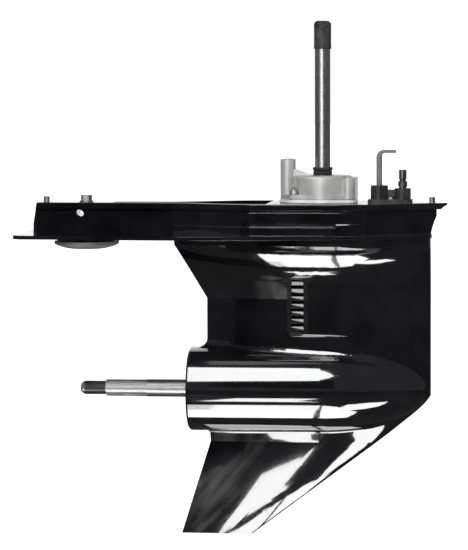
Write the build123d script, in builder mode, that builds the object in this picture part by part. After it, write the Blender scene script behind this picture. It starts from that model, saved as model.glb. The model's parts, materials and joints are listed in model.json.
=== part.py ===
"""Lower unit of a large outboard motor: gear housing, drive line, gears, water pump and shift gear.

Millimetres. +X points to the bow, +Y to port and +Z up. The origin is where the drive-shaft axis
crosses the top face of the housing's deck, the face that bolts to the rest of the motor.
"""

import math
import os

from build123d import *

os.makedirs("parts", exist_ok=True)

# ---------------------------------------------------------------- driving sizes: clearances
running_gap = 0.05  # radial, between a shaft and the hole it turns in
seat_gap = 0.02  # radial, between two pieces that are fixed to each other
free_gap = 0.4  # between moving pieces that only pass each other

# ---------------------------------------------------------------- driving sizes: housing
prop_axis_drop = 268.0  # deck face down to the propeller-shaft axis
shift_axis_x = 114.4  # shift shaft ahead of the drive shaft

gearcase_radius = 60.3  # the torpedo-shaped gearcase
gearcase_aft_x = -192.0
gearcase_nose_x = 150.0
gearcase_rim_round = 3.0
gearcase_fillet = 14.0  # where the strut grows out of the gearcase

strut_nose_x = 155.0  # straight leading edge of the strut
strut_tail_x = -166.0  # aft edge of the strut over its straight stretch
strut_tail_top_x = -222.0  # aft edge where the strut meets the plate
strut_half_top = 38.0
strut_half_low = 30.0
strut_waist_drop = 137.0  # where the sloping aft edge becomes upright
strut_foot_drop = 275.0  # where the strut ends inside the gearcase and the skeg starts
flare_start_drop = 112.0  # above here the strut widens in a cove towards the plate
flare_end_drop = 60.0
flare_radius = 62.0
flare_sections = 5
foil_fullest = 0.35  # where a foil is thickest, as a share of its chord
tail_share = 0.22  # thickness left at a trailing edge, as a share of the greatest

skeg_bottom_drop = 477.5
skeg_nose_x = -102.0  # bottom corners of the skeg
skeg_tail_x = -204.0
skeg_half = 4.0
skeg_root_half = 9.5  # where the blade starts, below the root that fairs into the gearcase
skeg_root_share = 0.34  # depth of that root, as a share of the skeg's height
skeg_tail_step = 4.0  # the blade's tail starts this far ahead of the strut's
skeg_belly = 10.0  # how far the leading edge bows out from a straight line
skeg_fillet = 5.0

deck_aft_x = -419.5
deck_bow_x = 179.0
deck_aft_lean = 9.0  # the aft wall leans out by this much towards the plate
deck_half = 72.0  # round the water pump
deck_tail_half = 21.0  # the narrow aft arm
deck_lip = 9.0  # height of the flange round the deck
deck_lip_overhang = 3.0
deck_lip_chamfer = 1.0
deck_seat_depth = 0.4  # shallow machined seats for what stands on the deck
bow_panel_x = 67.0  # forward of here the side wall is set further in
bow_panel_inset = 7.0
deck_wall = 6.0
side_panel_x = (-110.0, 60.0)  # raised panel under the flange
side_panel_drop = (11.0, 29.0)
side_panel_thickness = 1.6
edge_chamfer = 1.2

plate_top_drop = 44.5
plate_thickness = 5.5
plate_aft_x = -436.0
plate_half = 97.0
plate_aft_half = 82.0
flare_setback = 3.0  # the flare stops this far inside the edge of the plate

side_rail_height = 13.0
side_rail_thickness = 3.0
side_rail_x = (-212.0, 24.0)

exhaust_aft_x = -300.0
exhaust_bow_x = -76.0
exhaust_floor_drop = 39.0
passage_x = (-128.0, -64.0)
passage_wall = 7.0

cross_hole_x = -347.5
cross_hole_drop = 15.0
cross_hole_radius = 3.6
cross_hole_length = 11.0

# ---------------------------------------------------------------- driving sizes: deck hardware
dowel_radius = 4.4  # the end that stands out of the deck
dowel_seat_radius = 4.6
dowel_chamfer = 0.8
dowel_bore_radius = 2.6
dowel_height = 8.0
dowel_depth = 12.0
dowel_x = (-399.0, 156.5)

deck_bolt_radius = 4.25
deck_bolt_depth = 24.0
deck_bolt_x = (-64.0, 56.0)
deck_bolt_y = 50.0

anode_x = -341.0
anode_radius = 46.5
anode_pad_radius = 43.0
anode_pad_height = 6.0
anode_height = 11.0
anode_bolt_radius = 4.5
anode_bolt_head = 14.0  # across the flats
anode_bolt_head_height = 8.0
anode_washer_thickness = 2.0
anode_washer_radius = 10.0

# ---------------------------------------------------------------- driving sizes: intakes
intake_x = -34.0
intake_top_drop = 106.0
intake_bottom_drop = 187.0
intake_width = 30.0
intake_slots = 7
intake_slot_pitch = 10.76
intake_slot_width = 17.5
intake_slot_height = 5.6
intake_louvre_rise = 2.4  # a louvre leans back by this much over its height
intake_screen_depth = 5.0
intake_corner = 6.0
intake_margin = 3.0  # frame above and below the window
intake_ledge = 3.0  # ledge round the pocket on which the screen rests
intake_septum = 3.0  # wall between the pockets of the two sides
intake_gallery_radius = 7.0
gallery_x = -30.0

# ---------------------------------------------------------------- driving sizes: drive line
drive_radius = 11.1
drive_top = 256.0
drive_journal_radius = 14.0
drive_pinion_radius = 10.0
drive_thread_radius = 8.0
pinion_nut_height = 8.0
cap_radius = 12.4
cap_bottom = 219.0
cap_top = 259.0
slinger_radius = 14.6
slinger_height = 11.0

gear_module = 3.2
pinion_teeth = 14
driven_teeth = 28
pressure_angle = 25.0
gear_face = 16.0  # width of the teeth along the cone
backlash = 0.5
gear_hub_radius = 25.0
gear_rim_radius = 45.5
gear_back = 36.0  # back of a driven gear's rim, from the drive-shaft axis
gear_hub_end = 56.0

prop_radius = 14.0  # propeller shaft inside the housing
prop_tail_radius = 12.7  # the plain stretch outside
prop_spline_radius = 12.2
prop_spline_root = 11.0
prop_thread_radius = 9.6
prop_spline_teeth = 15
prop_plain_end = -254.0
prop_spline_end = -313.0
prop_tip = -350.0
prop_nose = 62.0
slider_radius = 5.5

clutch_radius = 20.5
clutch_half = 8.5  # half length of the sleeve without its dogs
dog_height = 4.0
dog_count = 8
dog_angle = 18.0
dog_standoff = 3.0  # neutral gap between clutch dogs and gear dogs
cross_pin_radius = 3.0
shift_throw = 9.0  # crank pin, from the shift-shaft axis
crank_pin_radius = 2.5
crank_room_radius = 13.8
follower_radius = 12.9
follower_core_radius = 4.0  # what is left inside the follower's crank groove
shift_angle = 40.0  # turn of the shift shaft each way

gear_bearing_radius = 42.0
carrier_radius = 53.9
carrier_tube_radius = 26.0
carrier_front_x = -37.0
carrier_front_length = 25.0
carrier_flange_x = -160.0
carrier_flange_length = 10.0
carrier_end_x = -178.0
reverse_bearing_radius = 36.0
carrier_windows = 5

# ---------------------------------------------------------------- driving sizes: water pump
pump_radius = 43.0
pump_lobe_radius = 9.5  # full-height lobes round the bow studs
pump_lobe_top = 36.0
pump_lobe_bore = 7.5
pump_lobe_bore_depth = 10.0
pump_top = 39.0
pump_ear_radius = 8.0
pump_stud_x = 39.0
pump_stud_y = 27.0
pump_gasket = 0.8
pump_base_thickness = 4.2
pump_plate_thickness = 1.0
pump_bore_radius = 30.0
pump_bore_offset = 2.0
pump_bore_height = 23.0
liner_wall = 1.0
outlet_x = -49.6
outlet_radius = 11.0
outlet_bore_radius = 6.5
outlet_top = 62.0
impeller_vanes = 6
impeller_hub_radius = 15.0
stud_radius = 3.0
stud_depth = 20.0  # hole in the housing
stud_above_nut = 5.0
nut_spot_radius = 7.0
pump_flange_height = 6.0  # of the body, under the aft nuts
pump_base_grow = 1.2  # the base stands out this far round the body
nut_washer_height = 1.2
nut_height = 5.0

# ---------------------------------------------------------------- driving sizes: shift gear
shift_radius = 5.5
shift_top = 47.0
shift_neck = 32.0
block_boss_x = 81.0
block_boss_radius = 12.5
block_boss_top = 24.6
block_socket_radius = 11.7
block_socket_top = 20.5
block_base = 5.0
block_half = 17.0
block_margin = 30.0  # length of the block beyond its two bosses
elbow_radius = 4.25
elbow_arm_radius = 2.75
elbow_top = 79.5
elbow_reach = 24.0

# ---------------------------------------------------------------- sizes worked out from the above
prop_z = -prop_axis_drop
plate_z = -plate_top_drop - plate_thickness
pinion_pitch = gear_module * pinion_teeth / 2
driven_pitch = gear_module * driven_teeth / 2
cone_length = math.hypot(pinion_pitch, driven_pitch)
toe_share = (cone_length - gear_face) / cone_length
gear_cavity_radius = gear_rim_radius + 3.5
carrier_seat_x = carrier_front_x + 1.0
dog_floor = clutch_half + 2 * dog_height + dog_standoff
clutch_travel = shift_throw * math.sin(math.radians(shift_angle))
pinion_hub_z = prop_z + driven_pitch + 7.2
root_depth = 1.25 * gear_module
slope_pinion = math.atan2(pinion_pitch, driven_pitch)
slope_driven = math.pi / 2 - slope_pinion
cone_toe = toe_share - 0.02  # the root cones run on a little past both ends of the teeth
cone_heel = 1.012
wear_z = pump_gasket + pump_base_thickness
body_z = wear_z + pump_plate_thickness
aft_nut_z = body_z + pump_flange_height
bow_nut_z = pump_lobe_top - pump_lobe_bore_depth
pinion_toe_z = prop_z + cone_toe * (driven_pitch + root_depth * math.sin(slope_pinion))

DRIVE_AXIS = Axis((0, 0, 0), (0, 0, 1))
PROP_AXIS = Axis((0, 0, prop_z), (1, 0, 0))
SHIFT_AXIS = Axis((shift_axis_x, 0, 0), (0, 0, 1))


def save(piece, name):
    """Label a finished piece and write it under that name."""
    piece.part.label = name
    export_step(piece.part, f"parts/{name}.step")


# ---------------------------------------------------------------- profiles
def upright_profile(*points, x=0.0):
    """A closed profile of (radius, height) points beside an upright axis at x."""
    with BuildSketch(Plane.XZ) as profile:
        with BuildLine():
            Polyline(*[(x + radius, height) for radius, height in points], close=True)
        make_face()
    return profile.sketch


def prop_profile(*points):
    """A closed profile of (x, radius) points above the propeller-shaft axis."""
    with BuildSketch(Plane.XZ) as profile:
        with BuildLine():
            Polyline(*[(x, prop_z + radius) for x, radius in points], close=True)
        make_face()
    return profile.sketch


def upright_ring(inner, outer, bottom, top):
    """The profile of a plain ring round an upright axis."""
    return upright_profile((inner, bottom), (outer, bottom), (outer, top), (inner, top))


def prop_ring(inner, outer, aft, bow):
    """The profile of a plain ring round the propeller-shaft axis."""
    return prop_profile((aft, inner), (bow, inner), (bow, outer), (aft, outer))


def foil_half(share):
    """Half thickness of the foil at a share of its chord, 1 at its thickest.

    An elliptical nose runs back to the fullest point, and a parabola from there to the blunt tail.
    """
    if share < foil_fullest:
        return math.sqrt(1 - (1 - share / foil_fullest) ** 2)
    return 1 - (1 - tail_share) * ((share - foil_fullest) / (1 - foil_fullest)) ** 2


def foil_section(height, nose_x, tail_x, half):
    """A foil in plan, with its nose at nose_x and a blunt tail at tail_x."""
    nose_length = foil_fullest * (nose_x - tail_x)
    full_x = nose_x - nose_length
    middle_x = (full_x + tail_x) / 2
    tail = tail_share * half
    with BuildSketch(Plane.XY.offset(height)) as section:
        with BuildLine():
            EllipticalCenterArc((full_x, 0), nose_length, half, start_angle=-90, arc_size=180)
            Bezier((full_x, half), (middle_x, half), (tail_x, tail))
            Line((tail_x, tail), (tail_x, -tail))
            Bezier((tail_x, -tail), (middle_x, -half), (full_x, -half))
        make_face()
    return section.sketch


def strut_taper(drop):
    """How far up the tapered part of the strut: 0 at the waist and below it, 1 at the plate."""
    return max(0.0, (strut_waist_drop - drop) / (strut_waist_drop - plate_top_drop))


def strut_half(drop):
    """Half of the strut's greatest thickness: an even taper, then a round cove out to the plate."""
    cove = max(0.0, flare_start_drop - drop) / flare_radius
    widening = flare_radius * (1 - math.sqrt(1 - cove**2))
    return strut_half_low + (strut_half_top - strut_half_low) * strut_taper(drop) + widening


def strut_half_width(x, drop):
    """Half width of the strut at x, this far below the deck."""
    share = (strut_nose_x - x) / (strut_nose_x - strut_tail_x)
    return strut_half(drop) * foil_half(share)


def strut_section(drop):
    """The strut in plan, this far below the deck; its tail slopes aft towards the plate."""
    tail = strut_tail_x + strut_taper(drop) * (strut_tail_top_x - strut_tail_x)
    return foil_section(-drop, strut_nose_x, tail, strut_half(drop))


def deck_outline(height, inset=0.0):
    """The deck in plan: a narrow aft arm, a wide middle round the pump and a pointed bow."""
    arm = deck_tail_half - inset
    wide = deck_half - inset
    aft = deck_aft_x + inset
    bow = deck_bow_x - 1.6 * inset
    with BuildSketch(Plane.XY.offset(height)) as outline:
        with BuildLine():
            Polyline((bow, 0), (aft, 0), (aft, arm - 5), (aft + 5, arm), (-225, arm + 4))
            Spline((-225, arm + 4), (-90, wide), tangents=[(1, 0.04), (1, 0)])
            Line((-90, wide), (24, wide))
            Spline((24, wide), (104, wide - 26), (160, wide - 58), (bow, 0), tangents=[(1, 0), (0, -1)])
        make_face()
        mirror(about=Plane.XZ)
    return outline.sketch


def plate_outline(height, inset=0.0):
    """The anti-ventilation plate in plan, from the leading edge to its square aft end."""
    nose = strut_nose_x + 2
    aft_half = plate_aft_half - inset
    with BuildSketch(Plane.XY.offset(height)) as outline:
        with BuildLine():
            Polyline(
                (nose, 0),
                (plate_aft_x, 0),
                (plate_aft_x, aft_half - 8),
                (plate_aft_x + 10, aft_half),
            )
            Spline(
                (plate_aft_x + 10, aft_half),
                (-120, plate_half - inset),
                (60, 62 - inset),
                (nose, 0),
                tangents=[(1, 0.06), (0.1, -1)],
            )
        make_face()
        mirror(about=Plane.XZ)
    return outline.sketch


def stud_places(side=None):
    """Where the pump's studs stand: the aft pair (side -1), the bow pair (side 1) or all four."""
    sides = (-1, 1) if side is None else (side,)
    return [(i * pump_stud_x, j * pump_stud_y) for i in sides for j in (-1, 1)]


def pump_flange(grow=0.0, studs=True):
    """The pump's footprint: the round body, an ear at each stud and the outlet side."""
    with BuildSketch() as flange:
        Circle(pump_radius + grow)
        with Locations(*stud_places()):
            Circle(pump_ear_radius + grow)
        with Locations((outlet_x, 0)):
            Circle(outlet_radius + grow)
        make_hull()
        if studs:
            with Locations(*stud_places()):
                Circle(stud_radius + seat_gap, mode=Mode.SUBTRACT)
    return flange.sketch


def shift_block_outline(grow=0.0):
    """The shift block's footprint."""
    with BuildSketch() as outline:
        with Locations(((block_boss_x + shift_axis_x) / 2 - 1, 0)):
            length = shift_axis_x - block_boss_x + block_margin
            RectangleRounded(length + 2 * grow, 2 * (block_half + grow), 8 + grow)
    return outline.sketch


# ---------------------------------------------------------------- housing: outer forms
with BuildPart() as strut:
    # even at the foot, with a sloping tail above the waist and a cove that widens it towards the plate
    loft([strut_section(strut_foot_drop), strut_section(strut_waist_drop)], ruled=True)
    loft([strut_section(strut_waist_drop), strut_section(flare_start_drop)], ruled=True)
    flare_step = (flare_start_drop - flare_end_drop) / (flare_sections - 1)
    loft([strut_section(flare_start_drop - i * flare_step) for i in range(flare_sections)])
    extrude(strut_section(flare_end_drop), amount=flare_end_drop - plate_top_drop)
    # the flare ends inside the plate's edge
    extrude(plate_outline(-strut_foot_drop, flare_setback), amount=strut_foot_drop, mode=Mode.INTERSECT)

skeg_height = skeg_bottom_drop - strut_foot_drop


def skeg_section(share, half):
    """The skeg in plan at a share of its height, swept back along its leading edge."""
    nose = strut_nose_x + share * (skeg_nose_x - strut_nose_x)
    nose += skeg_belly * math.sin(math.pi * math.sqrt(share))
    below = max(0.0, share - skeg_root_share) / (1 - skeg_root_share)
    above = min(1.0, share / skeg_root_share)
    tail = strut_tail_x + below * (skeg_tail_x - strut_tail_x) + skeg_tail_step * above * (1 - below)
    return foil_section(-strut_foot_drop - share * skeg_height, nose, tail, half)


with BuildPart() as skeg:
    # a thick root that fairs into the gearcase, then a thin blade
    root_sections = []
    for step in range(5):
        root_share = skeg_root_share * step / 4
        thinning = (1 - step / 4) ** 1.6
        root_sections.append(
            skeg_section(root_share, skeg_root_half + (strut_half_low - skeg_root_half) * thinning)
        )
    loft(root_sections)
    loft([skeg_section(skeg_root_share, skeg_root_half), skeg_section(1.0, skeg_half)], ruled=True)

with BuildPart() as torpedo:
    with BuildSketch(Plane.XZ):
        with BuildLine():
            EllipticalCenterArc((0, prop_z), gearcase_nose_x, gearcase_radius, arc_size=90)
            Polyline(
                (0, prop_z + gearcase_radius),
                (gearcase_aft_x + gearcase_rim_round, prop_z + gearcase_radius),
                (gearcase_aft_x, prop_z + gearcase_radius - gearcase_rim_round),
                (gearcase_aft_x, prop_z),
                (gearcase_nose_x, prop_z),
            )
        make_face()
    revolve(axis=PROP_AXIS)



def edges_between(piece, top_drop, bottom_drop):
    """The edges of a piece that lie wholly between two depths below the deck."""
    boxes = [(edge, edge.bounding_box()) for edge in piece.edges()]
    return ShapeList([edge for edge, box in boxes if box.min.Z > -bottom_drop and box.max.Z < -top_drop])


with BuildPart() as lower_body:
    add(strut.part)
    add(torpedo.part)
    # the strut's foot meets the upper half of the gearcase
    fillet(edges_between(lower_body, prop_axis_drop - gearcase_radius - 8, prop_axis_drop - 6), gearcase_fillet)
    add(skeg.part)
    # the skeg's root meets the lower half, below the section that strut and skeg share
    root_edges = edges_between(lower_body, strut_foot_drop - 2, prop_axis_drop + gearcase_radius + 1)
    low_root_edges = root_edges.filter_by(lambda edge: edge.bounding_box().min.Z < -strut_foot_drop - 15)
    fillet(low_root_edges, skeg_fillet)

with BuildPart() as upper_body:
    # walls under the deck, set further in towards the bow
    wall_height = plate_top_drop + 1 - deck_lip
    with BuildSketch(Plane.XY.offset(-plate_top_drop - 1)):
        add(deck_outline(0, deck_lip_overhang))
        with Locations((bow_panel_x + 100, 0)):
            Rectangle(200, 400, mode=Mode.SUBTRACT)
    extrude(amount=wall_height)
    with BuildSketch(Plane.XY.offset(-plate_top_drop - 1)):
        add(deck_outline(0, deck_lip_overhang + bow_panel_inset))
        with Locations((bow_panel_x - 400, 0)):
            Rectangle(800, 400, mode=Mode.SUBTRACT)
    extrude(amount=wall_height)
    # flange round the deck
    with BuildSketch(Plane.XY.offset(-deck_lip)):
        add(deck_outline(0))
    extrude(amount=deck_lip)
    chamfer(upper_body.faces().sort_by(Axis.Z)[-1].edges(), deck_lip_chamfer)
    # side view: the aft wall leans out and the bow sweeps down to the leading edge
    with BuildSketch(Plane.XZ):
        with BuildLine():
            Polyline(
                (strut_nose_x, -plate_top_drop - 1),
                (deck_aft_x, -plate_top_drop - 1),
                (deck_aft_x + deck_aft_lean, 0),
                (deck_bow_x, 0),
                (deck_bow_x - 1, -3),
            )
            Spline(
                (deck_bow_x - 1, -3),
                (deck_bow_x - 15, -17),
                (strut_nose_x + 1, -39),
                (strut_nose_x, -plate_top_drop - 1),
                tangents=[(-1, -0.4), (-0.05, -1)],
            )
        make_face()
    extrude(amount=2 * deck_half, both=True, mode=Mode.INTERSECT)

with BuildPart() as side_rail:
    with BuildSketch(Plane.XY.offset(-plate_top_drop)):
        add(deck_outline(0, deck_lip_overhang - side_rail_thickness))
        with Locations((sum(side_rail_x) / 2, 0)):
            Rectangle(side_rail_x[1] - side_rail_x[0], 400, mode=Mode.INTERSECT)
    extrude(amount=side_rail_height)
    chamfer(side_rail.faces().sort_by(Axis.Z)[-1].edges(), edge_chamfer)

with BuildPart() as side_panel:
    with BuildSketch(Plane.XY.offset(-side_panel_drop[1])):
        add(deck_outline(0, deck_lip_overhang - side_panel_thickness))
        with Locations((sum(side_panel_x) / 2, 0)):
            Rectangle(side_panel_x[1] - side_panel_x[0], 400, mode=Mode.INTERSECT)
    extrude(amount=side_panel_drop[1] - side_panel_drop[0])
    chamfer(side_panel.faces().filter_by(Plane.XY).edges(), edge_chamfer)

with BuildPart() as plate:
    with BuildSketch(Plane.XY.offset(plate_z)):
        add(plate_outline(0))
    extrude(amount=plate_thickness)

# ---------------------------------------------------------------- housing: the casting
intake_height = intake_bottom_drop - intake_top_drop
intake_middle_z = -(intake_top_drop + intake_bottom_drop) / 2
intake_face_y = strut_half_width(intake_x, intake_bottom_drop) - intake_screen_depth

with BuildPart() as gear_housing:
    add(lower_body.part)
    add(upper_body.part)
    add(side_rail.part)
    add(side_panel.part)
    add(plate.part)
    # pad that carries the anode
    with BuildSketch(Plane.XY.offset(plate_z)):
        with Locations((anode_x, 0)):
            Circle(anode_pad_radius)
    extrude(amount=-anode_pad_height)

    # open exhaust chamber in the deck, with a passage down to the gearcase
    with BuildSketch(Plane.XY):
        add(deck_outline(0, deck_lip_overhang + deck_wall))
        with Locations(((exhaust_aft_x + exhaust_bow_x) / 2, 0)):
            Rectangle(exhaust_bow_x - exhaust_aft_x, 400, mode=Mode.INTERSECT)
    extrude(amount=-exhaust_floor_drop, mode=Mode.SUBTRACT)
    with BuildSketch(Plane.XY.offset(-exhaust_floor_drop)):
        with BuildLine():
            aft_half = strut_half_width(passage_x[0], prop_axis_drop) - passage_wall
            bow_half = strut_half_width(passage_x[1], prop_axis_drop) - passage_wall
            Polyline(
                (passage_x[0], -aft_half),
                (passage_x[1], -bow_half),
                (passage_x[1], bow_half),
                (passage_x[0], aft_half),
                close=True,
            )
        make_face()
    extrude(amount=-(prop_axis_drop - exhaust_floor_drop - 30), mode=Mode.SUBTRACT)

    # bore for the bearing carrier, gear chamber, forward bearing seat and follower bore
    revolve(
        prop_profile(
            (gearcase_aft_x - 1, 0),
            (gearcase_aft_x - 1, carrier_radius + seat_gap),
            (carrier_seat_x, carrier_radius + seat_gap),
            (carrier_seat_x, gear_cavity_radius),
            (gear_back, gear_cavity_radius),
            (gear_back, gear_bearing_radius),
            (gear_hub_end + 2, gear_bearing_radius),
            (gear_hub_end + 2, 20.0),
            (prop_nose + 3, 20.0),
            (prop_nose + 3, follower_radius + running_gap),
            (shift_axis_x + crank_room_radius + 1.2, follower_radius + running_gap),
            (shift_axis_x + crank_room_radius + 1.2, 0),
        ),
        axis=PROP_AXIS,
        mode=Mode.SUBTRACT,
    )
    # drive-shaft bore with its bearing seats
    revolve(
        upright_profile(
            (0, 1),
            (22.0 + seat_gap, 1),
            (22.0 + seat_gap, -46),
            (drive_radius + 3, -48),
            (drive_radius + 3, pinion_hub_z + 24),
            (26.0 + seat_gap, pinion_hub_z + 22),
            (26.0 + seat_gap, pinion_hub_z),
            (28.0, pinion_hub_z),
            (28.0, prop_z + 20),
            (0, prop_z + 20),
        ),
        axis=DRIVE_AXIS,
        mode=Mode.SUBTRACT,
    )
    # shift-shaft bore: free down the strut, close at its foot, wide round the crank
    revolve(
        upright_profile(
            (0, 1),
            (shift_radius + 1.5, 1),
            (shift_radius + 1.5, prop_z + 38),
            (shift_radius + running_gap, prop_z + 38),
            (shift_radius + running_gap, prop_z + 22),
            (crank_room_radius, prop_z + 22),
            (crank_room_radius, prop_z - 10),
            (0, prop_z - 10),
            x=shift_axis_x,
        ),
        axis=SHIFT_AXIS,
        mode=Mode.SUBTRACT,
    )
    # an intake pocket from each side up to a middle wall, and the gallery that feeds the pump
    for side in (-1, 1):
        with BuildSketch(Plane.XZ.offset(-side * intake_septum / 2)):
            with Locations((intake_x, intake_middle_z)):
                pocket_width = intake_width - 2 * intake_ledge
                RectangleRounded(pocket_width, intake_height - 2 * intake_ledge, intake_corner - 2)
        extrude(amount=-side * deck_half, mode=Mode.SUBTRACT)
        with BuildSketch(Plane.XZ.offset(-side * intake_face_y)):
            with Locations((intake_x, intake_middle_z)):
                RectangleRounded(intake_width, intake_height, intake_corner)
        extrude(amount=-side * deck_half, mode=Mode.SUBTRACT)
    with BuildSketch(Plane.XY):
        with Locations((gallery_x, 0)):
            Circle(intake_gallery_radius)
    extrude(amount=-intake_top_drop - 10, mode=Mode.SUBTRACT)

    # holes in the deck: dowels, bolts and the anode bolt; cross hole through the aft arm
    with Locations(*[(x, 0, 0) for x in dowel_x]):
        Hole(dowel_seat_radius + seat_gap, depth=dowel_depth)
    with Locations(*[(x, y, 0) for x in deck_bolt_x for y in (-deck_bolt_y, deck_bolt_y)]):
        Hole(deck_bolt_radius, depth=deck_bolt_depth)
    with Locations((anode_x, 0, 0)):
        Hole(anode_bolt_radius + seat_gap, depth=plate_top_drop + plate_thickness + anode_pad_height)
    with Locations(*stud_places()):
        Hole(stud_radius + seat_gap, depth=stud_depth)
    # shallow seats for the water pump, the shift block and the anode's washer
    with BuildSketch(Plane.XY):
        add(pump_flange(pump_base_grow + seat_gap, studs=False))
        add(shift_block_outline(seat_gap))
        with Locations((anode_x, 0)):
            Circle(anode_washer_radius + seat_gap)
    extrude(amount=-deck_seat_depth, mode=Mode.SUBTRACT)
    with BuildSketch(Plane.XZ):
        with Locations((cross_hole_x, -cross_hole_drop)):
            SlotOverall(cross_hole_length, 2 * cross_hole_radius, rotation=-35)
    extrude(amount=deck_half, both=True, mode=Mode.SUBTRACT)

save(gear_housing, "gear_housing")

# ---------------------------------------------------------------- intake screens
for side, name in ((-1, "intake_screen_starboard"), (1, "intake_screen_port")):
    with BuildPart() as intake_screen:
        with BuildSketch(Plane.XZ.offset(-side * (intake_face_y + seat_gap))):
            with Locations((intake_x, intake_middle_z)):
                screen_width = intake_width - 2 * seat_gap
                RectangleRounded(screen_width, intake_height - 2 * seat_gap, intake_corner)
        extrude(amount=-side * deck_half)
        # one window, crossed by louvres that lean back towards their upper edges
        with BuildSketch(Plane.XZ.offset(-side * intake_face_y)):
            with Locations((intake_x, intake_middle_z)):
                RectangleRounded(intake_slot_width, intake_height - 2 * intake_margin, 2)
        extrude(amount=-side * deck_half, mode=Mode.SUBTRACT)
        for i in range(intake_slots):
            low = intake_middle_z + (i - (intake_slots - 1) / 2) * intake_slot_pitch - intake_slot_height / 2
            high = low + intake_slot_height
            inner = side * intake_face_y
            outer = side * (intake_face_y + intake_screen_depth + intake_louvre_rise / 2)
            lean = side * intake_louvre_rise
            with BuildSketch(Plane.YZ.offset(intake_x - intake_slot_width / 2)):
                with BuildLine():
                    Polyline((inner, low), (outer, low), (outer - lean, high), (inner, high), close=True)
                make_face()
            extrude(amount=intake_slot_width)
        # its face follows the skin of the strut
        add(strut.part, mode=Mode.INTERSECT)
    save(intake_screen, name)

# ---------------------------------------------------------------- deck hardware
with BuildPart() as dowel_pins:
    for x in dowel_x:
        revolve(
            upright_profile(
                (dowel_bore_radius, -dowel_depth),
                (dowel_seat_radius, -dowel_depth),
                (dowel_seat_radius, 0),
                (dowel_radius, 0),
                (dowel_radius, dowel_height - dowel_chamfer),
                (dowel_radius - dowel_chamfer, dowel_height),
                (dowel_bore_radius, dowel_height),
                x=x,
            ),
            axis=Axis((x, 0, 0), (0, 0, 1)),
        )
save(dowel_pins, "dowel_pins")

anode_seat_z = plate_z - anode_pad_height
with BuildPart() as anode:
    rise = anode_height * 0.35
    with BuildSketch(Plane.XZ):
        with BuildLine():
            Polyline(
                (anode_x + anode_bolt_radius, anode_seat_z),
                (anode_x + anode_radius, anode_seat_z),
                (anode_x + anode_radius, anode_seat_z - rise),
            )
            ThreePointArc(
                (anode_x + anode_radius, anode_seat_z - rise),
                (anode_x + anode_radius * 0.72, anode_seat_z - anode_height * 0.82),
                (anode_x + anode_radius * 0.3, anode_seat_z - anode_height),
            )
            Polyline(
                (anode_x + anode_radius * 0.3, anode_seat_z - anode_height),
                (anode_x + anode_bolt_radius, anode_seat_z - anode_height),
                (anode_x + anode_bolt_radius, anode_seat_z),
            )
        make_face()
    revolve(axis=Axis((anode_x, 0, 0), (0, 0, 1)))
save(anode, "anode")

with BuildPart() as anode_washer:
    with BuildSketch(Plane.XY.offset(-deck_seat_depth)):
        with Locations((anode_x, 0)):
            Circle(anode_washer_radius)
            Circle(anode_bolt_radius + seat_gap, mode=Mode.SUBTRACT)
    extrude(amount=deck_seat_depth + anode_washer_thickness)
save(anode_washer, "anode_washer")

with BuildPart() as anode_bolt:
    with BuildSketch(Plane.XY.offset(anode_washer_thickness)):
        with Locations((anode_x, 0)):
            RegularPolygon(anode_bolt_head / 2, 6, major_radius=False)
    extrude(amount=anode_bolt_head_height)
    with BuildSketch(Plane.XY.offset(anode_washer_thickness)):
        with Locations((anode_x, 0)):
            Circle(anode_bolt_radius - seat_gap)
    extrude(amount=anode_seat_z - anode_height - anode_washer_thickness + 1)
save(anode_bolt, "anode_bolt")

# ---------------------------------------------------------------- drive shaft and what turns with it
with BuildPart() as drive_shaft:
    revolve(
        upright_profile(
            (0, drive_top),
            (drive_radius - 1.2, drive_top),
            (drive_radius, drive_top - 1.2),
            (drive_radius, pinion_hub_z + 27),
            (drive_journal_radius, pinion_hub_z + 25),
            (drive_journal_radius, pinion_hub_z + seat_gap),
            (drive_pinion_radius, pinion_hub_z + seat_gap),
            (drive_pinion_radius, pinion_toe_z + 0.5),
            (drive_thread_radius, pinion_toe_z + 0.5),
            (drive_thread_radius, pinion_toe_z - pinion_nut_height - 1),
            (0, pinion_toe_z - pinion_nut_height - 1),
        ),
        axis=DRIVE_AXIS,
    )
save(drive_shaft, "drive_shaft")

with BuildPart() as drive_shaft_cap:
    revolve(
        upright_profile(
            (0, drive_top + seat_gap),
            (drive_radius + seat_gap, drive_top + seat_gap),
            (drive_radius + seat_gap, cap_bottom),
            (cap_radius, cap_bottom),
            (cap_radius, cap_top - 3),
            (cap_radius - 3, cap_top),
            (0, cap_top),
        ),
        axis=DRIVE_AXIS,
    )
save(drive_shaft_cap, "drive_shaft_cap")

with BuildPart() as slinger:
    bottom = pump_top + free_gap
    revolve(
        upright_profile(
            (drive_radius + seat_gap, bottom),
            (slinger_radius - 1.5, bottom),
            (slinger_radius - 0.8, bottom + 4),
            (slinger_radius - 1.8, bottom + 6),
            (slinger_radius, bottom + 8),
            (slinger_radius - 0.5, bottom + slinger_height),
            (drive_radius + seat_gap, bottom + slinger_height),
        ),
        axis=DRIVE_AXIS,
    )
save(slinger, "slinger")


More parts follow.
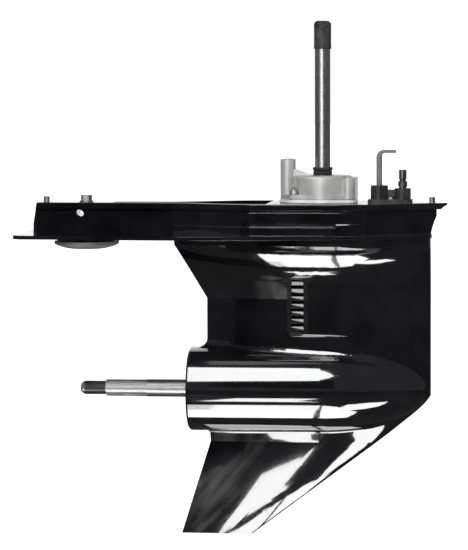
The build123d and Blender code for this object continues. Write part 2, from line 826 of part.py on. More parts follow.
def bevel_tooth(teeth, pitch_radius, slope, axial, radial):
    """One straight bevel tooth as a loft towards the apex, where the two axes cross.

    slope is the pitch-cone angle. The tooth form is an involute drawn on the back cone, where a
    tooth at r is half as wide as r times the sine of pi/2z - backlash + inv(a0) - inv(a).
    axial and radial are the unit vectors from the apex along the gear's axis and out to the tooth.
    """
    back_radius = pitch_radius / math.cos(slope)
    back_teeth = teeth / math.cos(slope)
    mean_angle = math.radians(pressure_angle)
    base = back_radius * math.cos(mean_angle)
    involute = math.tan(mean_angle) - mean_angle
    half_turn = math.pi / (2 * back_teeth) - backlash / (2 * back_radius) + involute
    flank = []
    root = back_radius - 1.45 * gear_module
    tip = back_radius + gear_module
    for i in range(6):
        r = root + (tip - root) * i / 5
        angle = math.acos(min(1.0, base / r))
        turn = half_turn - (math.tan(angle) - angle)
        flank.append((r * math.sin(turn), r * math.cos(turn) - back_radius))
    outline = [(-w, h) for w, h in flank] + flank[::-1]
    outward = radial * math.cos(slope) - axial * math.sin(slope)
    pitch_point = axial * (pitch_radius / math.tan(slope)) + radial * pitch_radius
    apex = Vector(0, 0, prop_z)
    across = outward.cross(pitch_point.normalized())
    faces = []
    for share in (1.0, toe_share):
        plane = Plane(apex + pitch_point * share, x_dir=across, z_dir=across.cross(outward))
        with BuildSketch(plane) as face:
            with BuildLine():
                Polyline(*[(w * share, h * share) for w, h in outline], close=True)
            make_face()
        faces.append(face.sketch)
    return faces


with BuildPart() as pinion_gear:
    root_out = pinion_pitch - root_depth * math.cos(slope_pinion)
    root_height = driven_pitch + root_depth * math.sin(slope_pinion)
    revolve(
        upright_profile(
            (drive_pinion_radius + seat_gap, pinion_toe_z),
            (cone_toe * root_out, pinion_toe_z),
            (cone_heel * root_out, prop_z + cone_heel * root_height),
            (root_out - 2, pinion_hub_z),
            (drive_pinion_radius + seat_gap, pinion_hub_z),
        ),
        axis=DRIVE_AXIS,
    )
    with BuildPart(mode=Mode.PRIVATE) as pinion_tooth:
        loft(bevel_tooth(pinion_teeth, pinion_pitch, slope_pinion, Vector(0, 0, 1), Vector(1, 0, 0)), ruled=True)
    for i in range(pinion_teeth):
        add(pinion_tooth.part.rotate(DRIVE_AXIS, i * 360 / pinion_teeth))
save(pinion_gear, "pinion_gear")

with BuildPart() as pinion_nut:
    with BuildSketch(Plane.XY.offset(pinion_toe_z - seat_gap)):
        RegularPolygon(12, 6)
        Circle(drive_thread_radius + seat_gap, mode=Mode.SUBTRACT)
    extrude(amount=-pinion_nut_height)
save(pinion_nut, "pinion_nut")

# ---------------------------------------------------------------- bearings of the drive shaft
def roller_ring(profile_of, inner, outer, low, high, axis):
    """A closed bearing: two races with a groove between them at each end."""
    middle = (inner + outer) / 2
    groove = (outer - inner) / 7
    points = [
        (inner, low),
        (middle - groove, low),
        (middle - groove, low + 2),
        (middle + groove, low + 2),
        (middle + groove, low),
        (outer, low),
        (outer, high),
        (middle + groove, high),
        (middle + groove, high - 2),
        (middle - groove, high - 2),
        (middle - groove, high),
        (inner, high),
    ]
    if axis is PROP_AXIS:
        points = [(place, radius) for radius, place in points]
    with BuildPart() as ring:
        revolve(profile_of(*points), axis=axis)
    return ring


pinion_bearing = roller_ring(
    upright_profile,
    drive_journal_radius + running_gap,
    26.0,
    pinion_hub_z + 0.3,
    pinion_hub_z + 22,
    DRIVE_AXIS,
)
save(pinion_bearing, "pinion_bearing")
upper_bearing = roller_ring(upright_profile, drive_radius + running_gap, 22.0, -46, -22, DRIVE_AXIS)
save(upper_bearing, "upper_bearing")

with BuildPart() as bearing_retainer:
    revolve(upright_ring(drive_radius + 1, 22.0, -21.9, -14), axis=DRIVE_AXIS)
save(bearing_retainer, "bearing_retainer")


# ---------------------------------------------------------------- driven gears
def driven_gear(direction):
    """A driven bevel gear with its dogs, hub and rim; direction is 1 for forward, -1 for reverse."""
    out = driven_pitch - root_depth * math.cos(slope_driven)
    face = pinion_pitch + root_depth * math.sin(slope_driven)
    profile = (
        (direction * dog_floor, prop_radius + running_gap),
        (direction * dog_floor, cone_toe * out - 5),
        (direction * cone_toe * face, cone_toe * out),
        (direction * cone_heel * face, cone_heel * out),
        (direction * (face + 4), gear_rim_radius),
        (direction * (gear_back - 2), gear_rim_radius),
        (direction * gear_back, gear_rim_radius - 2),
        (direction * gear_back, gear_hub_radius),
        (direction * (gear_hub_end if direction > 0 else gear_hub_end - 2), gear_hub_radius),
        (direction * (gear_hub_end if direction > 0 else gear_hub_end - 2), prop_radius + running_gap),
    )
    with BuildPart() as gear:
        revolve(prop_profile(*profile), axis=PROP_AXIS)
        with BuildPart(mode=Mode.PRIVATE) as tooth:
            start = Vector(0, 0, 1).rotate(Axis.X, 180 / driven_teeth)
            loft(bevel_tooth(driven_teeth, driven_pitch, slope_driven, Vector(direction, 0, 0), start), ruled=True)
        for i in range(driven_teeth):
            add(tooth.part.rotate(PROP_AXIS, i * 360 / driven_teeth))
        dog_ends = sorted((direction * (dog_floor + 0.5), direction * (dog_floor - dog_height)))
        add(sectors(prop_ring(prop_radius + 0.6, clutch_radius, *dog_ends), dog_angle, 0))
    return gear


def sectors(profile, angle, turn):
    """Copies of a ring's sector, one at each dog's place, centred on turn degrees from the top."""
    with BuildPart() as sector:
        revolve(profile, axis=PROP_AXIS, revolution_arc=angle)
    first = sector.part.rotate(PROP_AXIS, turn - angle / 2)
    return [first.rotate(PROP_AXIS, i * 360 / dog_count) for i in range(dog_count)]


forward_gear = driven_gear(1)
save(forward_gear, "forward_gear")
reverse_gear = driven_gear(-1)
save(reverse_gear, "reverse_gear")

forward_bearing = roller_ring(
    prop_profile,
    gear_hub_radius + running_gap,
    gear_bearing_radius - seat_gap,
    gear_back + 0.5,
    gear_hub_end + 2,
    PROP_AXIS,
)
save(forward_bearing, "forward_bearing")
reverse_bearing = roller_ring(
    prop_profile,
    gear_hub_radius + running_gap,
    reverse_bearing_radius - seat_gap,
    -(gear_hub_end - 1),
    -(gear_back + 2),
    PROP_AXIS,
)
save(reverse_bearing, "reverse_bearing")

# ---------------------------------------------------------------- propeller shaft and clutch
with BuildPart() as propeller_shaft:
    revolve(
        prop_profile(
            (prop_tip, 0),
            (prop_tip, prop_thread_radius - 4),
            (prop_tip + 3, prop_thread_radius - 0.8),
            (prop_tip + 6, prop_thread_radius),
            (prop_spline_end, prop_thread_radius),
            (prop_spline_end, prop_spline_root),
            (prop_plain_end, prop_spline_root),
            (prop_plain_end, prop_tail_radius),
            (carrier_end_x - 6, prop_tail_radius),
            (carrier_end_x - 5, prop_radius),
            (gear_hub_end, prop_radius),
            (gear_hub_end, prop_radius - 2),
            (prop_nose, prop_radius - 2),
            (prop_nose, slider_radius + running_gap),
            (-16, slider_radius + running_gap),
            (-16, 0),
        ),
        axis=PROP_AXIS,
    )
    # splines for the propeller
    spline_length = prop_plain_end - prop_spline_end
    with BuildSketch(Plane.YZ.offset(prop_spline_end)):
        with Locations((0, prop_z)):
            with PolarLocations(prop_spline_root + 0.4, prop_spline_teeth):
                Rectangle(2 * (prop_spline_radius - prop_spline_root) - 0.8, 2.4)
    extrude(amount=spline_length)
    # slot in which the cross pin slides
    with BuildSketch(Plane.XY.offset(prop_z - prop_radius)):
        SlotOverall(2 * (cross_pin_radius + clutch_travel + 0.5), 2 * (cross_pin_radius + 0.15))
    extrude(amount=2 * prop_radius, mode=Mode.SUBTRACT)
save(propeller_shaft, "propeller_shaft")

with BuildPart() as dog_clutch:
    clutch_end = clutch_half + dog_height
    revolve(prop_ring(prop_radius + running_gap, clutch_radius, -clutch_end, clutch_end), axis=PROP_AXIS)
    for end in (-1, 1):
        add(
            sectors(
                prop_ring(prop_radius - 1, clutch_radius + 1, *sorted((end * clutch_half, end * (clutch_end + 1)))),
                360 / dog_count - dog_angle,
                0,
            ),
            mode=Mode.SUBTRACT,
        )
    revolve(prop_ring(clutch_radius - 1.2, clutch_radius + 1, -2, 2), axis=PROP_AXIS, mode=Mode.SUBTRACT)
    with BuildSketch(Plane.XY.offset(prop_z - clutch_radius - 1)):
        Circle(cross_pin_radius + seat_gap)
    extrude(amount=2 * clutch_radius + 2, mode=Mode.SUBTRACT)
save(dog_clutch, "dog_clutch")

with BuildPart() as clutch_cross_pin:
    with BuildSketch(Plane.XY.offset(prop_z - clutch_radius + 1.8)):
        Circle(cross_pin_radius)
    extrude(amount=2 * (clutch_radius - 1.8))
save(clutch_cross_pin, "clutch_cross_pin")

with BuildPart() as clutch_spring:
    revolve(prop_ring(clutch_radius - 1.2 + seat_gap, clutch_radius - 0.1, -1.8, 1.8), axis=PROP_AXIS)
save(clutch_spring, "clutch_spring")

follower_x = prop_nose + clutch_travel + 3
head_x = follower_x + 3
with BuildPart() as shift_slider:
    revolve(
        prop_profile(
            (-9, 0),
            (-9, slider_radius),
            (head_x, slider_radius),
            (head_x, 8.0),
            (head_x + 4, 8.0),
            (head_x + 4, 0),
        ),
        axis=PROP_AXIS,
    )
    with BuildSketch(Plane.XY.offset(prop_z - slider_radius)):
        Circle(cross_pin_radius + seat_gap)
    extrude(amount=2 * slider_radius, mode=Mode.SUBTRACT)
save(shift_slider, "shift_slider")

# ---------------------------------------------------------------- shift shaft, crank and follower
with BuildPart() as cam_follower:
    revolve(
        prop_profile(
            (follower_x, slider_radius + free_gap),
            (follower_x, follower_radius),
            (shift_axis_x - crank_pin_radius - free_gap, follower_radius),
            (shift_axis_x - crank_pin_radius - free_gap, follower_core_radius),
            (shift_axis_x + crank_pin_radius + free_gap, follower_core_radius),
            (shift_axis_x + crank_pin_radius + free_gap, follower_radius),
            (shift_axis_x + 6.5, follower_radius),
            (shift_axis_x + 6.5, 0),
            (head_x + 4 + free_gap, 0),
            (head_x + 4 + free_gap, 8.0 + free_gap),
            (head_x - free_gap, 8.0 + free_gap),
            (head_x - free_gap, slider_radius + free_gap),
        ),
        axis=PROP_AXIS,
    )
save(cam_follower, "cam_follower")

crank_z = prop_z + 14
with BuildPart() as shift_crank:
    with BuildSketch(Plane.XY.offset(crank_z)):
        with Locations((shift_axis_x, 0)):
            Circle(shift_throw + crank_pin_radius + 0.8)
            RegularPolygon(shift_radius - 1, 6, mode=Mode.SUBTRACT)
    extrude(amount=6)
    with BuildSketch(Plane.XY.offset(crank_z)):
        with Locations((shift_axis_x, -shift_throw)):
            Circle(crank_pin_radius)
    extrude(amount=-16)
save(shift_crank, "shift_crank")

with BuildPart() as shift_shaft:
    revolve(
        upright_profile(
            (0, crank_z + 6.1),
            (shift_radius, crank_z + 6.1),
            (shift_radius, block_socket_top + 2.5),
            (shift_radius + 0.9, block_socket_top + 2.5),
            (shift_radius + 0.9, shift_neck - 2),
            (shift_radius - 1.0, shift_neck - 0.5),
            (shift_radius - 1.0, shift_neck + 0.5),
            (shift_radius, shift_neck + 2),
            (shift_radius, shift_top - 0.8),
            (shift_radius - 0.8, shift_top),
            (0, shift_top),
            x=shift_axis_x,
        ),
        axis=SHIFT_AXIS,
    )
    with BuildSketch(Plane.XY.offset(crank_z + 0.5)):
        with Locations((shift_axis_x, 0)):
            RegularPolygon(shift_radius - 1 - seat_gap, 6)
    extrude(amount=6)
save(shift_shaft, "shift_shaft")

with BuildPart() as shift_block:
    extrude(Plane.XY.offset(-deck_seat_depth) * shift_block_outline(), amount=deck_seat_depth + block_base)
    with BuildSketch(Plane.XY.offset(block_base)):
        with Locations((block_boss_x, 0)):
            Circle(block_boss_radius)
    extrude(amount=block_boss_top - block_base)
    with BuildSketch(Plane.XY.offset(block_base)):
        with Locations((shift_axis_x, 0)):
            Circle(block_socket_radius)
    extrude(amount=block_socket_top - block_base)
    with BuildSketch(Plane.XY.offset(block_base)):
        with Locations(((block_boss_x + shift_axis_x) / 2, 3)):
            Rectangle(shift_axis_x - block_boss_x, 12)
    extrude(amount=block_socket_top - block_base - 2)
    with Locations((shift_axis_x, 0, block_socket_top)):
        Hole(shift_radius + running_gap)
    with Locations((block_boss_x, 0, block_boss_top)):
        Hole(elbow_radius + seat_gap, depth=10)
    with Locations(*[(x, y, block_base) for x, y in ((block_boss_x + 17, -12), (block_boss_x + 17, 13))]):
        Hole(2.5 + seat_gap)
save(shift_block, "shift_block")

with BuildPart() as shift_block_screws:
    with BuildSketch(Plane.XY.offset(block_base)):
        with Locations((block_boss_x + 17, -12), (block_boss_x + 17, 13)):
            RegularPolygon(4.2, 6)
    extrude(amount=3.5)
    with BuildSketch(Plane.XY):
        with Locations((block_boss_x + 17, -12), (block_boss_x + 17, 13)):
            Circle(2.5)
    extrude(amount=block_base)
save(shift_block_screws, "shift_block_screws")

with BuildPart() as vent_elbow:
    with BuildSketch(Plane.XY.offset(block_boss_top - 9)):
        with Locations((block_boss_x, 0)):
            Circle(elbow_radius)
    extrude(amount=elbow_top - block_boss_top + 9 - elbow_arm_radius)
    fillet(vent_elbow.faces().sort_by(Axis.Z)[-1].edges(), 1.5)
    with BuildSketch(Plane.YZ.offset(block_boss_x)):
        with Locations((0, elbow_top - 2 * elbow_arm_radius)):
            Circle(elbow_arm_radius)
    extrude(amount=elbow_reach)
save(vent_elbow, "vent_elbow")

# ---------------------------------------------------------------- bearing carrier and aft closure
with BuildPart() as bearing_carrier:
    front_end = carrier_front_x - carrier_front_length
    flange_end = carrier_flange_x - carrier_flange_length
    revolve(
        prop_profile(
            (carrier_front_x, reverse_bearing_radius),
            (carrier_front_x, carrier_radius),
            (carrier_front_x - 8, carrier_radius),
            (carrier_front_x - 8, carrier_radius - 2.5),
            (carrier_front_x - 12, carrier_radius - 2.5),
            (carrier_front_x - 12, carrier_radius),
            (front_end, carrier_radius),
            (front_end - 6, carrier_tube_radius + 4),
            (front_end - 10, carrier_tube_radius),
            (carrier_flange_x, carrier_tube_radius),
            (carrier_flange_x, carrier_radius),
            (flange_end, carrier_radius),
            (flange_end, carrier_tube_radius),
            (carrier_end_x, carrier_tube_radius),
            (carrier_end_x, 20.0),
            (carrier_end_x + 14, 20.0),
            (carrier_end_x + 14, 18.0),
            (carrier_end_x + 40, 18.0),
            (carrier_end_x + 40, prop_radius + 1),
            (-gear_hub_end, prop_radius + 1),
            (-gear_hub_end, reverse_bearing_radius),
        ),
        axis=PROP_AXIS,
    )
    # exhaust windows through the rear flange
    with BuildPart(mode=Mode.PRIVATE) as window:
        revolve(
            prop_ring(carrier_tube_radius + 4, carrier_radius - 9, flange_end - 1, carrier_flange_x + 1),
            axis=PROP_AXIS,
            revolution_arc=360 / carrier_windows - 22,
        )
    for i in range(carrier_windows):
        add(window.part.rotate(PROP_AXIS, i * 360 / carrier_windows + 11), mode=Mode.SUBTRACT)
save(bearing_carrier, "bearing_carrier")

with BuildPart() as carrier_o_ring:
    revolve(
        prop_ring(carrier_radius - 2.5 + seat_gap, carrier_radius, carrier_front_x - 11.8, carrier_front_x - 8.2),
        axis=PROP_AXIS,
    )
save(carrier_o_ring, "carrier_o_ring")

carrier_needles = roller_ring(
    prop_profile,
    prop_radius + running_gap,
    18.0 - seat_gap,
    carrier_end_x + 15,
    carrier_end_x + 39,
    PROP_AXIS,
)
save(carrier_needles, "carrier_needles")

with BuildPart() as prop_shaft_seals:
    for start in (carrier_end_x + 0.5, carrier_end_x + 7.2):
        revolve(
            prop_profile(
                (start, prop_radius + 0.3),
                (start + 6.2, prop_radius + 2.5),
                (start + 6.2, 20.0 - seat_gap),
                (start, 20.0 - seat_gap),
            ),
            axis=PROP_AXIS,
        )
save(prop_shaft_seals, "prop_shaft_seals")

with BuildPart() as carrier_tab_washer:
    washer_x = carrier_flange_x - carrier_flange_length - 1.5
    revolve(prop_ring(carrier_radius - 7, carrier_radius, washer_x, washer_x + 1.48), axis=PROP_AXIS)
    with BuildSketch(Plane.YZ.offset(washer_x)):
        with Locations((0, prop_z)):
            with PolarLocations(carrier_radius - 8.5, 8):
                Rectangle(4, 7)
    extrude(amount=1.48)
save(carrier_tab_washer, "carrier_tab_washer")

with BuildPart() as carrier_nut:
    revolve(prop_ring(carrier_radius - 8, carrier_radius, washer_x - 9, washer_x - seat_gap), axis=PROP_AXIS)
    with BuildSketch(Plane.YZ.offset(washer_x - 9.5)):
        with Locations((0, prop_z)):
            with PolarLocations(carrier_radius - 8, 12):
                Rectangle(6, 6)
    extrude(amount=5, mode=Mode.SUBTRACT)
save(carrier_nut, "carrier_nut")

# ---------------------------------------------------------------- water pump
with BuildPart() as pump_gasket_sheet:
    with BuildSketch(Plane.XY.offset(-deck_seat_depth)):
        add(pump_flange(pump_base_grow / 2))
        Circle(drive_radius + 3, mode=Mode.SUBTRACT)
        with Locations((gallery_x, 0)):
            Circle(intake_gallery_radius, mode=Mode.SUBTRACT)
    extrude(amount=deck_seat_depth + pump_gasket)
save(pump_gasket_sheet, "pump_gasket")

with BuildPart() as pump_base:
    with BuildSketch(Plane.XY.offset(pump_gasket)):
        add(pump_flange(pump_base_grow))
        Circle(drive_radius + 1, mode=Mode.SUBTRACT)
        with Locations((gallery_x + 2, 0)):
            Circle(intake_gallery_radius - 2, mode=Mode.SUBTRACT)
    extrude(amount=pump_base_thickness)
save(pump_base, "pump_base")

with BuildPart() as pump_wear_plate:
    with BuildSketch(Plane.XY.offset(wear_z)):
        add(pump_flange())
        Circle(drive_radius + 1, mode=Mode.SUBTRACT)
        with Locations((gallery_x + 7, 0)):
            SlotOverall(12, 8, rotation=90, mode=Mode.SUBTRACT)
    extrude(amount=pump_plate_thickness)
save(pump_wear_plate, "pump_wear_plate")

with BuildPart() as pump_body:
    with BuildSketch(Plane.XY.offset(body_z)):
        add(pump_flange(studs=False))
    extrude(amount=pump_flange_height)
    with BuildSketch(Plane.XY.offset(body_z)):
        Circle(pump_radius)
    extrude(amount=pump_top - body_z)
    fillet(pump_body.faces().sort_by(Axis.Z)[-1].edges(), 4)
    with BuildSketch(Plane.XY.offset(body_z)):
        with Locations(*stud_places(1)):
            Circle(pump_lobe_radius)
        Circle(pump_ear_radius)
        make_hull()
    extrude(amount=pump_lobe_top - body_z)
    # water outlet: a boss with a web that slopes up to it
    with BuildSketch(Plane.XY.offset(body_z)):
        with Locations((outlet_x, 0)):
            Circle(outlet_radius)
    extrude(amount=outlet_top - body_z)
    with BuildSketch(Plane.XZ):
        with BuildLine():
            Polyline(
                (outlet_x, body_z),
                (0, body_z),
                (-12, pump_top - 1),
                (outlet_x + outlet_radius - 1, pump_top + 9),
                (outlet_x, pump_top + 9),
                close=True,
            )
        make_face()
    extrude(amount=7, both=True)
    # pumping chamber, shaft hole, seal seat and outlet bore
    with BuildSketch(Plane.XY.offset(body_z)):
        with Locations((pump_bore_offset, 0)):
            Circle(pump_bore_radius + liner_wall + seat_gap)
    extrude(amount=pump_bore_height + liner_wall, mode=Mode.SUBTRACT)
    with BuildSketch(Plane.XY):
        Circle(drive_radius + free_gap)
    extrude(amount=pump_top + 1, mode=Mode.SUBTRACT)
    with BuildSketch(Plane.XY.offset(pump_top - 4)):
        Circle(16)
    extrude(amount=5, mode=Mode.SUBTRACT)
    with Locations((outlet_x, 0, outlet_top)):
        Hole(outlet_bore_radius, depth=outlet_top - body_z - 4)
    with Locations(*[(x, y, pump_lobe_top) for x, y in stud_places(1)]):
        Hole(pump_lobe_bore, depth=pump_lobe_bore_depth)
    # spot faces for the nuts of the aft studs, and the stud holes
    with Locations(*[(x, y, pump_top) for x, y in stud_places(-1)]):
        Hole(nut_spot_radius, depth=pump_top - aft_nut_z)
    with Locations(*[(x, y, aft_nut_z) for x, y in stud_places()]):
        Hole(stud_radius + seat_gap)
save(pump_body, "pump_body")

with BuildPart() as pump_liner:
    with BuildSketch(Plane.XY.offset(body_z)):
        with Locations((pump_bore_offset, 0)):
            Circle(pump_bore_radius + liner_wall)
            Circle(pump_bore_radius, mode=Mode.SUBTRACT)
    extrude(amount=pump_bore_height)
    with BuildSketch(Plane.XY.offset(body_z + pump_bore_height)):
        with Locations((pump_bore_offset, 0)):
            Circle(pump_bore_radius + liner_wall)
        Circle(drive_radius + 2, mode=Mode.SUBTRACT)
    extrude(amount=liner_wall)
save(pump_liner, "pump_liner")

with BuildPart() as impeller:
    height = pump_bore_height - 2 * free_gap
    vane_tip = pump_bore_radius - pump_bore_offset - free_gap
    with BuildSketch(Plane.XY.offset(body_z + free_gap)):
        Circle(impeller_hub_radius)
        with PolarLocations((impeller_hub_radius + vane_tip) / 2 - 1, impeller_vanes):
            Rectangle(vane_tip - impeller_hub_radius + 1, 2.6)
        with PolarLocations(vane_tip - 1.8, impeller_vanes):
            Circle(1.8)
        Circle(drive_radius + seat_gap, mode=Mode.SUBTRACT)
    extrude(amount=height)
save(impeller, "impeller")

with BuildPart() as pump_seal:
    revolve(upright_ring(drive_radius + 0.3, 16.0 - seat_gap, pump_top - 4, pump_top - 0.2), axis=DRIVE_AXIS)
save(pump_seal, "pump_seal")

with BuildPart() as outlet_grommet:
    with BuildSketch(Plane.XY.offset(outlet_top - 5)):
        with Locations((outlet_x, 0)):
            Circle(outlet_bore_radius - seat_gap)
            Circle(outlet_bore_radius - 2, mode=Mode.SUBTRACT)
    extrude(amount=5.5)
save(outlet_grommet, "outlet_grommet")

with BuildPart() as pump_studs:
    for side, nut_z in ((-1, aft_nut_z), (1, bow_nut_z)):
        with BuildSketch(Plane.XY.offset(2 - stud_depth)):
            with Locations(*stud_places(side)):
                Circle(stud_radius)
        # the aft studs stand above their nuts, the bow ones end level with them
        end = nut_z + nut_washer_height + nut_height + (stud_above_nut if side < 0 else 0)
        extrude(amount=end - (2 - stud_depth))
save(pump_studs, "pump_studs")

with BuildPart() as pump_nuts:
    for side, nut_z in ((-1, aft_nut_z), (1, bow_nut_z)):
        with BuildSketch(Plane.XY.offset(nut_z)):
            with Locations(*stud_places(side)):
                Circle(6.2)
                Circle(stud_radius + seat_gap, mode=Mode.SUBTRACT)
        extrude(amount=nut_washer_height)
        with BuildSketch(Plane.XY.offset(nut_z + nut_washer_height)):
            with Locations(*stud_places(side)):
                RegularPolygon(5.6, 6)
                Circle(stud_radius + seat_gap, mode=Mode.SUBTRACT)
        extrude(amount=nut_height)
save(pump_nuts, "pump_nuts")
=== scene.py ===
# %% [markdown]
# # Lower unit of an outboard motor, dressed for the studio
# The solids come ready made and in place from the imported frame, in metres. +X points to the bow, +Y to port
# and +Z up along the drive shaft; the deck's top face is at Z = 0. This file gives every solid its finish,
# adds the few small surfaces that cutting tools and moulds leave, such as threads and knurls, and sets up
# the floor, the light and the camera.

# %% The frame
import json
import math

import bpy
import numpy as np
from mathutils import Matrix, Vector

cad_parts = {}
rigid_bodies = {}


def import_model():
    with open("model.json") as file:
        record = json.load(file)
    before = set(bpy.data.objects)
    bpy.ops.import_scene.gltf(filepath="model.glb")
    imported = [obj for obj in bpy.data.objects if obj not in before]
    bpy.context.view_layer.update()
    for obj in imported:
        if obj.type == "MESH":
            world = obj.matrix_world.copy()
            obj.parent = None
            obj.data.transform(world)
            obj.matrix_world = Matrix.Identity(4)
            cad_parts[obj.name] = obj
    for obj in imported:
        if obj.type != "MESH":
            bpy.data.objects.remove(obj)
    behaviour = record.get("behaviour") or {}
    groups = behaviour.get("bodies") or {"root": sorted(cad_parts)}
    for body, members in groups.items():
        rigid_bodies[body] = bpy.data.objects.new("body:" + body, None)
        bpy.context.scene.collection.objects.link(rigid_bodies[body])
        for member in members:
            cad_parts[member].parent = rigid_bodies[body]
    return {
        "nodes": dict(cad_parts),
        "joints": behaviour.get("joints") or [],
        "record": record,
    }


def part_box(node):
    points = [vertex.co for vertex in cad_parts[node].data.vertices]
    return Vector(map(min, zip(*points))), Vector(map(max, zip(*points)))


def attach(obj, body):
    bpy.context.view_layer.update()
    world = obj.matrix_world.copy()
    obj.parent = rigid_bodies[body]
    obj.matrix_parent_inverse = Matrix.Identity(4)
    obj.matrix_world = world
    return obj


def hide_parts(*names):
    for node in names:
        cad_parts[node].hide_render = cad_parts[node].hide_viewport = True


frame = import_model()
nodes = frame["nodes"]
joint_place = {joint["name"]: joint.get("pos_m") for joint in frame["joints"]}
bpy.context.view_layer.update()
print("nodes in the frame:", len(nodes))

# %% [markdown]
# ## Camera
# The unit is seen from its starboard side, a little from the bow and a little from above. A short lens
# close by would show much of the deck's top and make the bow look large. A long lens far away keeps the
# deck edge and the propeller shaft almost parallel, as in a side view on a drawing.

# %% Camera
SENSOR_WIDTH, LENS_LENGTH = 36.0, 269.23  # mm
CAMERA_DISTANCE = 5.022
CAMERA_AZIMUTH, CAMERA_ELEVATION, CAMERA_ROLL = 6.2, 3.8, -0.15  # degrees
view_target = Vector((-0.1278, 0.0, -0.1045))


def direction(azimuth, elevation):
    """Unit vector towards azimuth (0 starboard, 90 bow) and elevation, by their sines and cosines."""
    around, up = math.radians(azimuth), math.radians(elevation)
    return Vector((math.sin(around) * math.cos(up), -math.cos(around) * math.cos(up), math.sin(up)))


def aim(obj, place, target, roll=0.0):
    """Puts obj at place with its -Z axis pointing at target, turned by roll degrees about that axis."""
    turn = (Vector(target) - Vector(place)).to_track_quat("-Z", "Y").to_matrix().to_4x4()
    obj.matrix_world = Matrix.Translation(place) @ turn @ Matrix.Rotation(math.radians(roll), 4, "Z")


camera = bpy.data.objects.new("camera", bpy.data.cameras.new("camera"))
bpy.context.scene.collection.objects.link(camera)
camera.data.sensor_fit = "HORIZONTAL"
camera.data.sensor_width = SENSOR_WIDTH
camera.data.lens = LENS_LENGTH
camera_place = view_target + direction(CAMERA_AZIMUTH, CAMERA_ELEVATION) * CAMERA_DISTANCE
aim(camera, camera_place, view_target, CAMERA_ROLL)
bpy.context.scene.camera = camera
bpy.context.scene.view_settings.view_transform = "Standard"
print("camera to the middle of the view, m:", round((camera_place - view_target).length, 2))

# %% [markdown]
# ## Helpers for materials
# A material is a small graph of nodes. Building each graph by hand takes a page of code, so one helper adds
# a node and fills its inputs, and another starts a material with its shader.

# %% Node helpers
def add_node(tree, kind, inputs=None, **settings):
    """Adds a shader node. Each input gets a value, or a link if what is given is another node's output."""
    node = tree.nodes.new("ShaderNode" + kind)
    for name, value in settings.items():
        setattr(node, name, value)
    for name, value in (inputs or {}).items():
        if isinstance(value, bpy.types.NodeSocket):
            tree.links.new(value, node.inputs[name])
        else:
            node.inputs[name].default_value = value
    return node


def blank_tree(owner):
    """Empties the node tree of a material or world and returns it."""
    owner.use_nodes = True
    owner.node_tree.nodes.clear()
    return owner.node_tree


def between(tree, share, low, high, ends=(0.0, 1.0)):
    """Output that runs from low to high as share runs between the two ends."""
    inputs = {"Value": share, "From Min": ends[0], "From Max": ends[1], "To Min": low, "To Max": high}
    return add_node(tree, "MapRange", inputs, interpolation_type="LINEAR").outputs["Result"]


def math_node(tree, operation, first, second):
    """Output of one arithmetic step on two numbers."""
    return add_node(tree, "Math", {0: first, 1: second}, operation=operation).outputs[0]


def product(tree, first, *others):
    """Output that is all the given numbers multiplied together."""
    for other in others:
        first = math_node(tree, "MULTIPLY", first, other)
    return first


def is_mirror_ray(tree, path):
    """Output that is 1 for a ray sent by a shiny or clear surface. path is a Light Path node's outputs."""
    return math_node(tree, "MAXIMUM", path["Is Glossy Ray"], path["Is Transmission Ray"])


print("node helpers ready")

# %% [markdown]
# ## Studio
# Gloss black shows only what it reflects. So the room is dark in front of the unit and white behind it, and
# a few white cards, cut to shape, stand where their mirror images fall on the gearcase, the strut and the
# skeg. Lamps with a plain soft light show the pale and matt pieces. Lamps alone, strong enough to draw
# white bands in black enamel, would burn out the pale pump housing.
#
# The world is the far wall of that room. One strength for every ray would give either a grey background or
# a milky enamel, so its strength depends on what kind of ray asks: white for the camera, a middle grey for
# matt surfaces, and nearly dark for mirror images, apart from a white window straight behind the unit.

# %% World
WALL_FOR_MATT, WALL_FOR_MIRRORS = 0.42, 0.14
STRAIGHT_BACK = (0.80, 0.94)  # share of Y in a direction, where the white behind the unit fades in
WINDOW_FOOT, WINDOW_TOP = (0.02, 0.05), (0.55, 0.7)  # share of Z, where the window fades in and out
world = bpy.data.worlds.new("studio")
bpy.context.scene.world = world
tree = blank_tree(world)
path = add_node(tree, "LightPath").outputs
gaze = add_node(tree, "SeparateXYZ", {0: add_node(tree, "TexCoord").outputs["Generated"]}).outputs
behind_unit = between(tree, gaze["Y"], 0.0, 1.0, STRAIGHT_BACK)
above_floor = between(tree, gaze["Z"], 0.0, 1.0, WINDOW_FOOT)
below_ceiling = between(tree, gaze["Z"], 1.0, 0.0, WINDOW_TOP)
window = product(tree, behind_unit, above_floor, below_ceiling)
in_mirrors = between(tree, window, WALL_FOR_MIRRORS, 1.0)
soft = between(tree, is_mirror_ray(tree, path), WALL_FOR_MATT, in_mirrors)
shown = between(tree, path["Is Camera Ray"], soft, 1.0)
light = add_node(tree, "Background", {"Color": (1, 1, 1, 1), "Strength": shown})
add_node(tree, "OutputWorld", {"Surface": light.outputs[0]})
print("world strength for matt surfaces:", WALL_FOR_MATT, "and in mirror images:", WALL_FOR_MIRRORS)

# %% [markdown]
# ### Flat faces of the set
# The floor and the cards are single flat faces. They are part of the set and not of the unit, so the sharing
# out of the cards below leaves them out.

# %% Card helper
def card(name, corners, material):
    """A flat staged face through the given corners, in metres."""
    mesh = bpy.data.meshes.new(name)
    mesh.from_pydata(np.array(corners, dtype=float).tolist(), [], [list(range(len(corners)))])
    mesh.materials.append(material)
    obj = bpy.data.objects.new(name, mesh)
    bpy.context.scene.collection.objects.link(obj)
    return obj


FLOOR = -0.60
CARD_TABLE = FLOOR + 0.01  # Z of the cards that lie on the floor

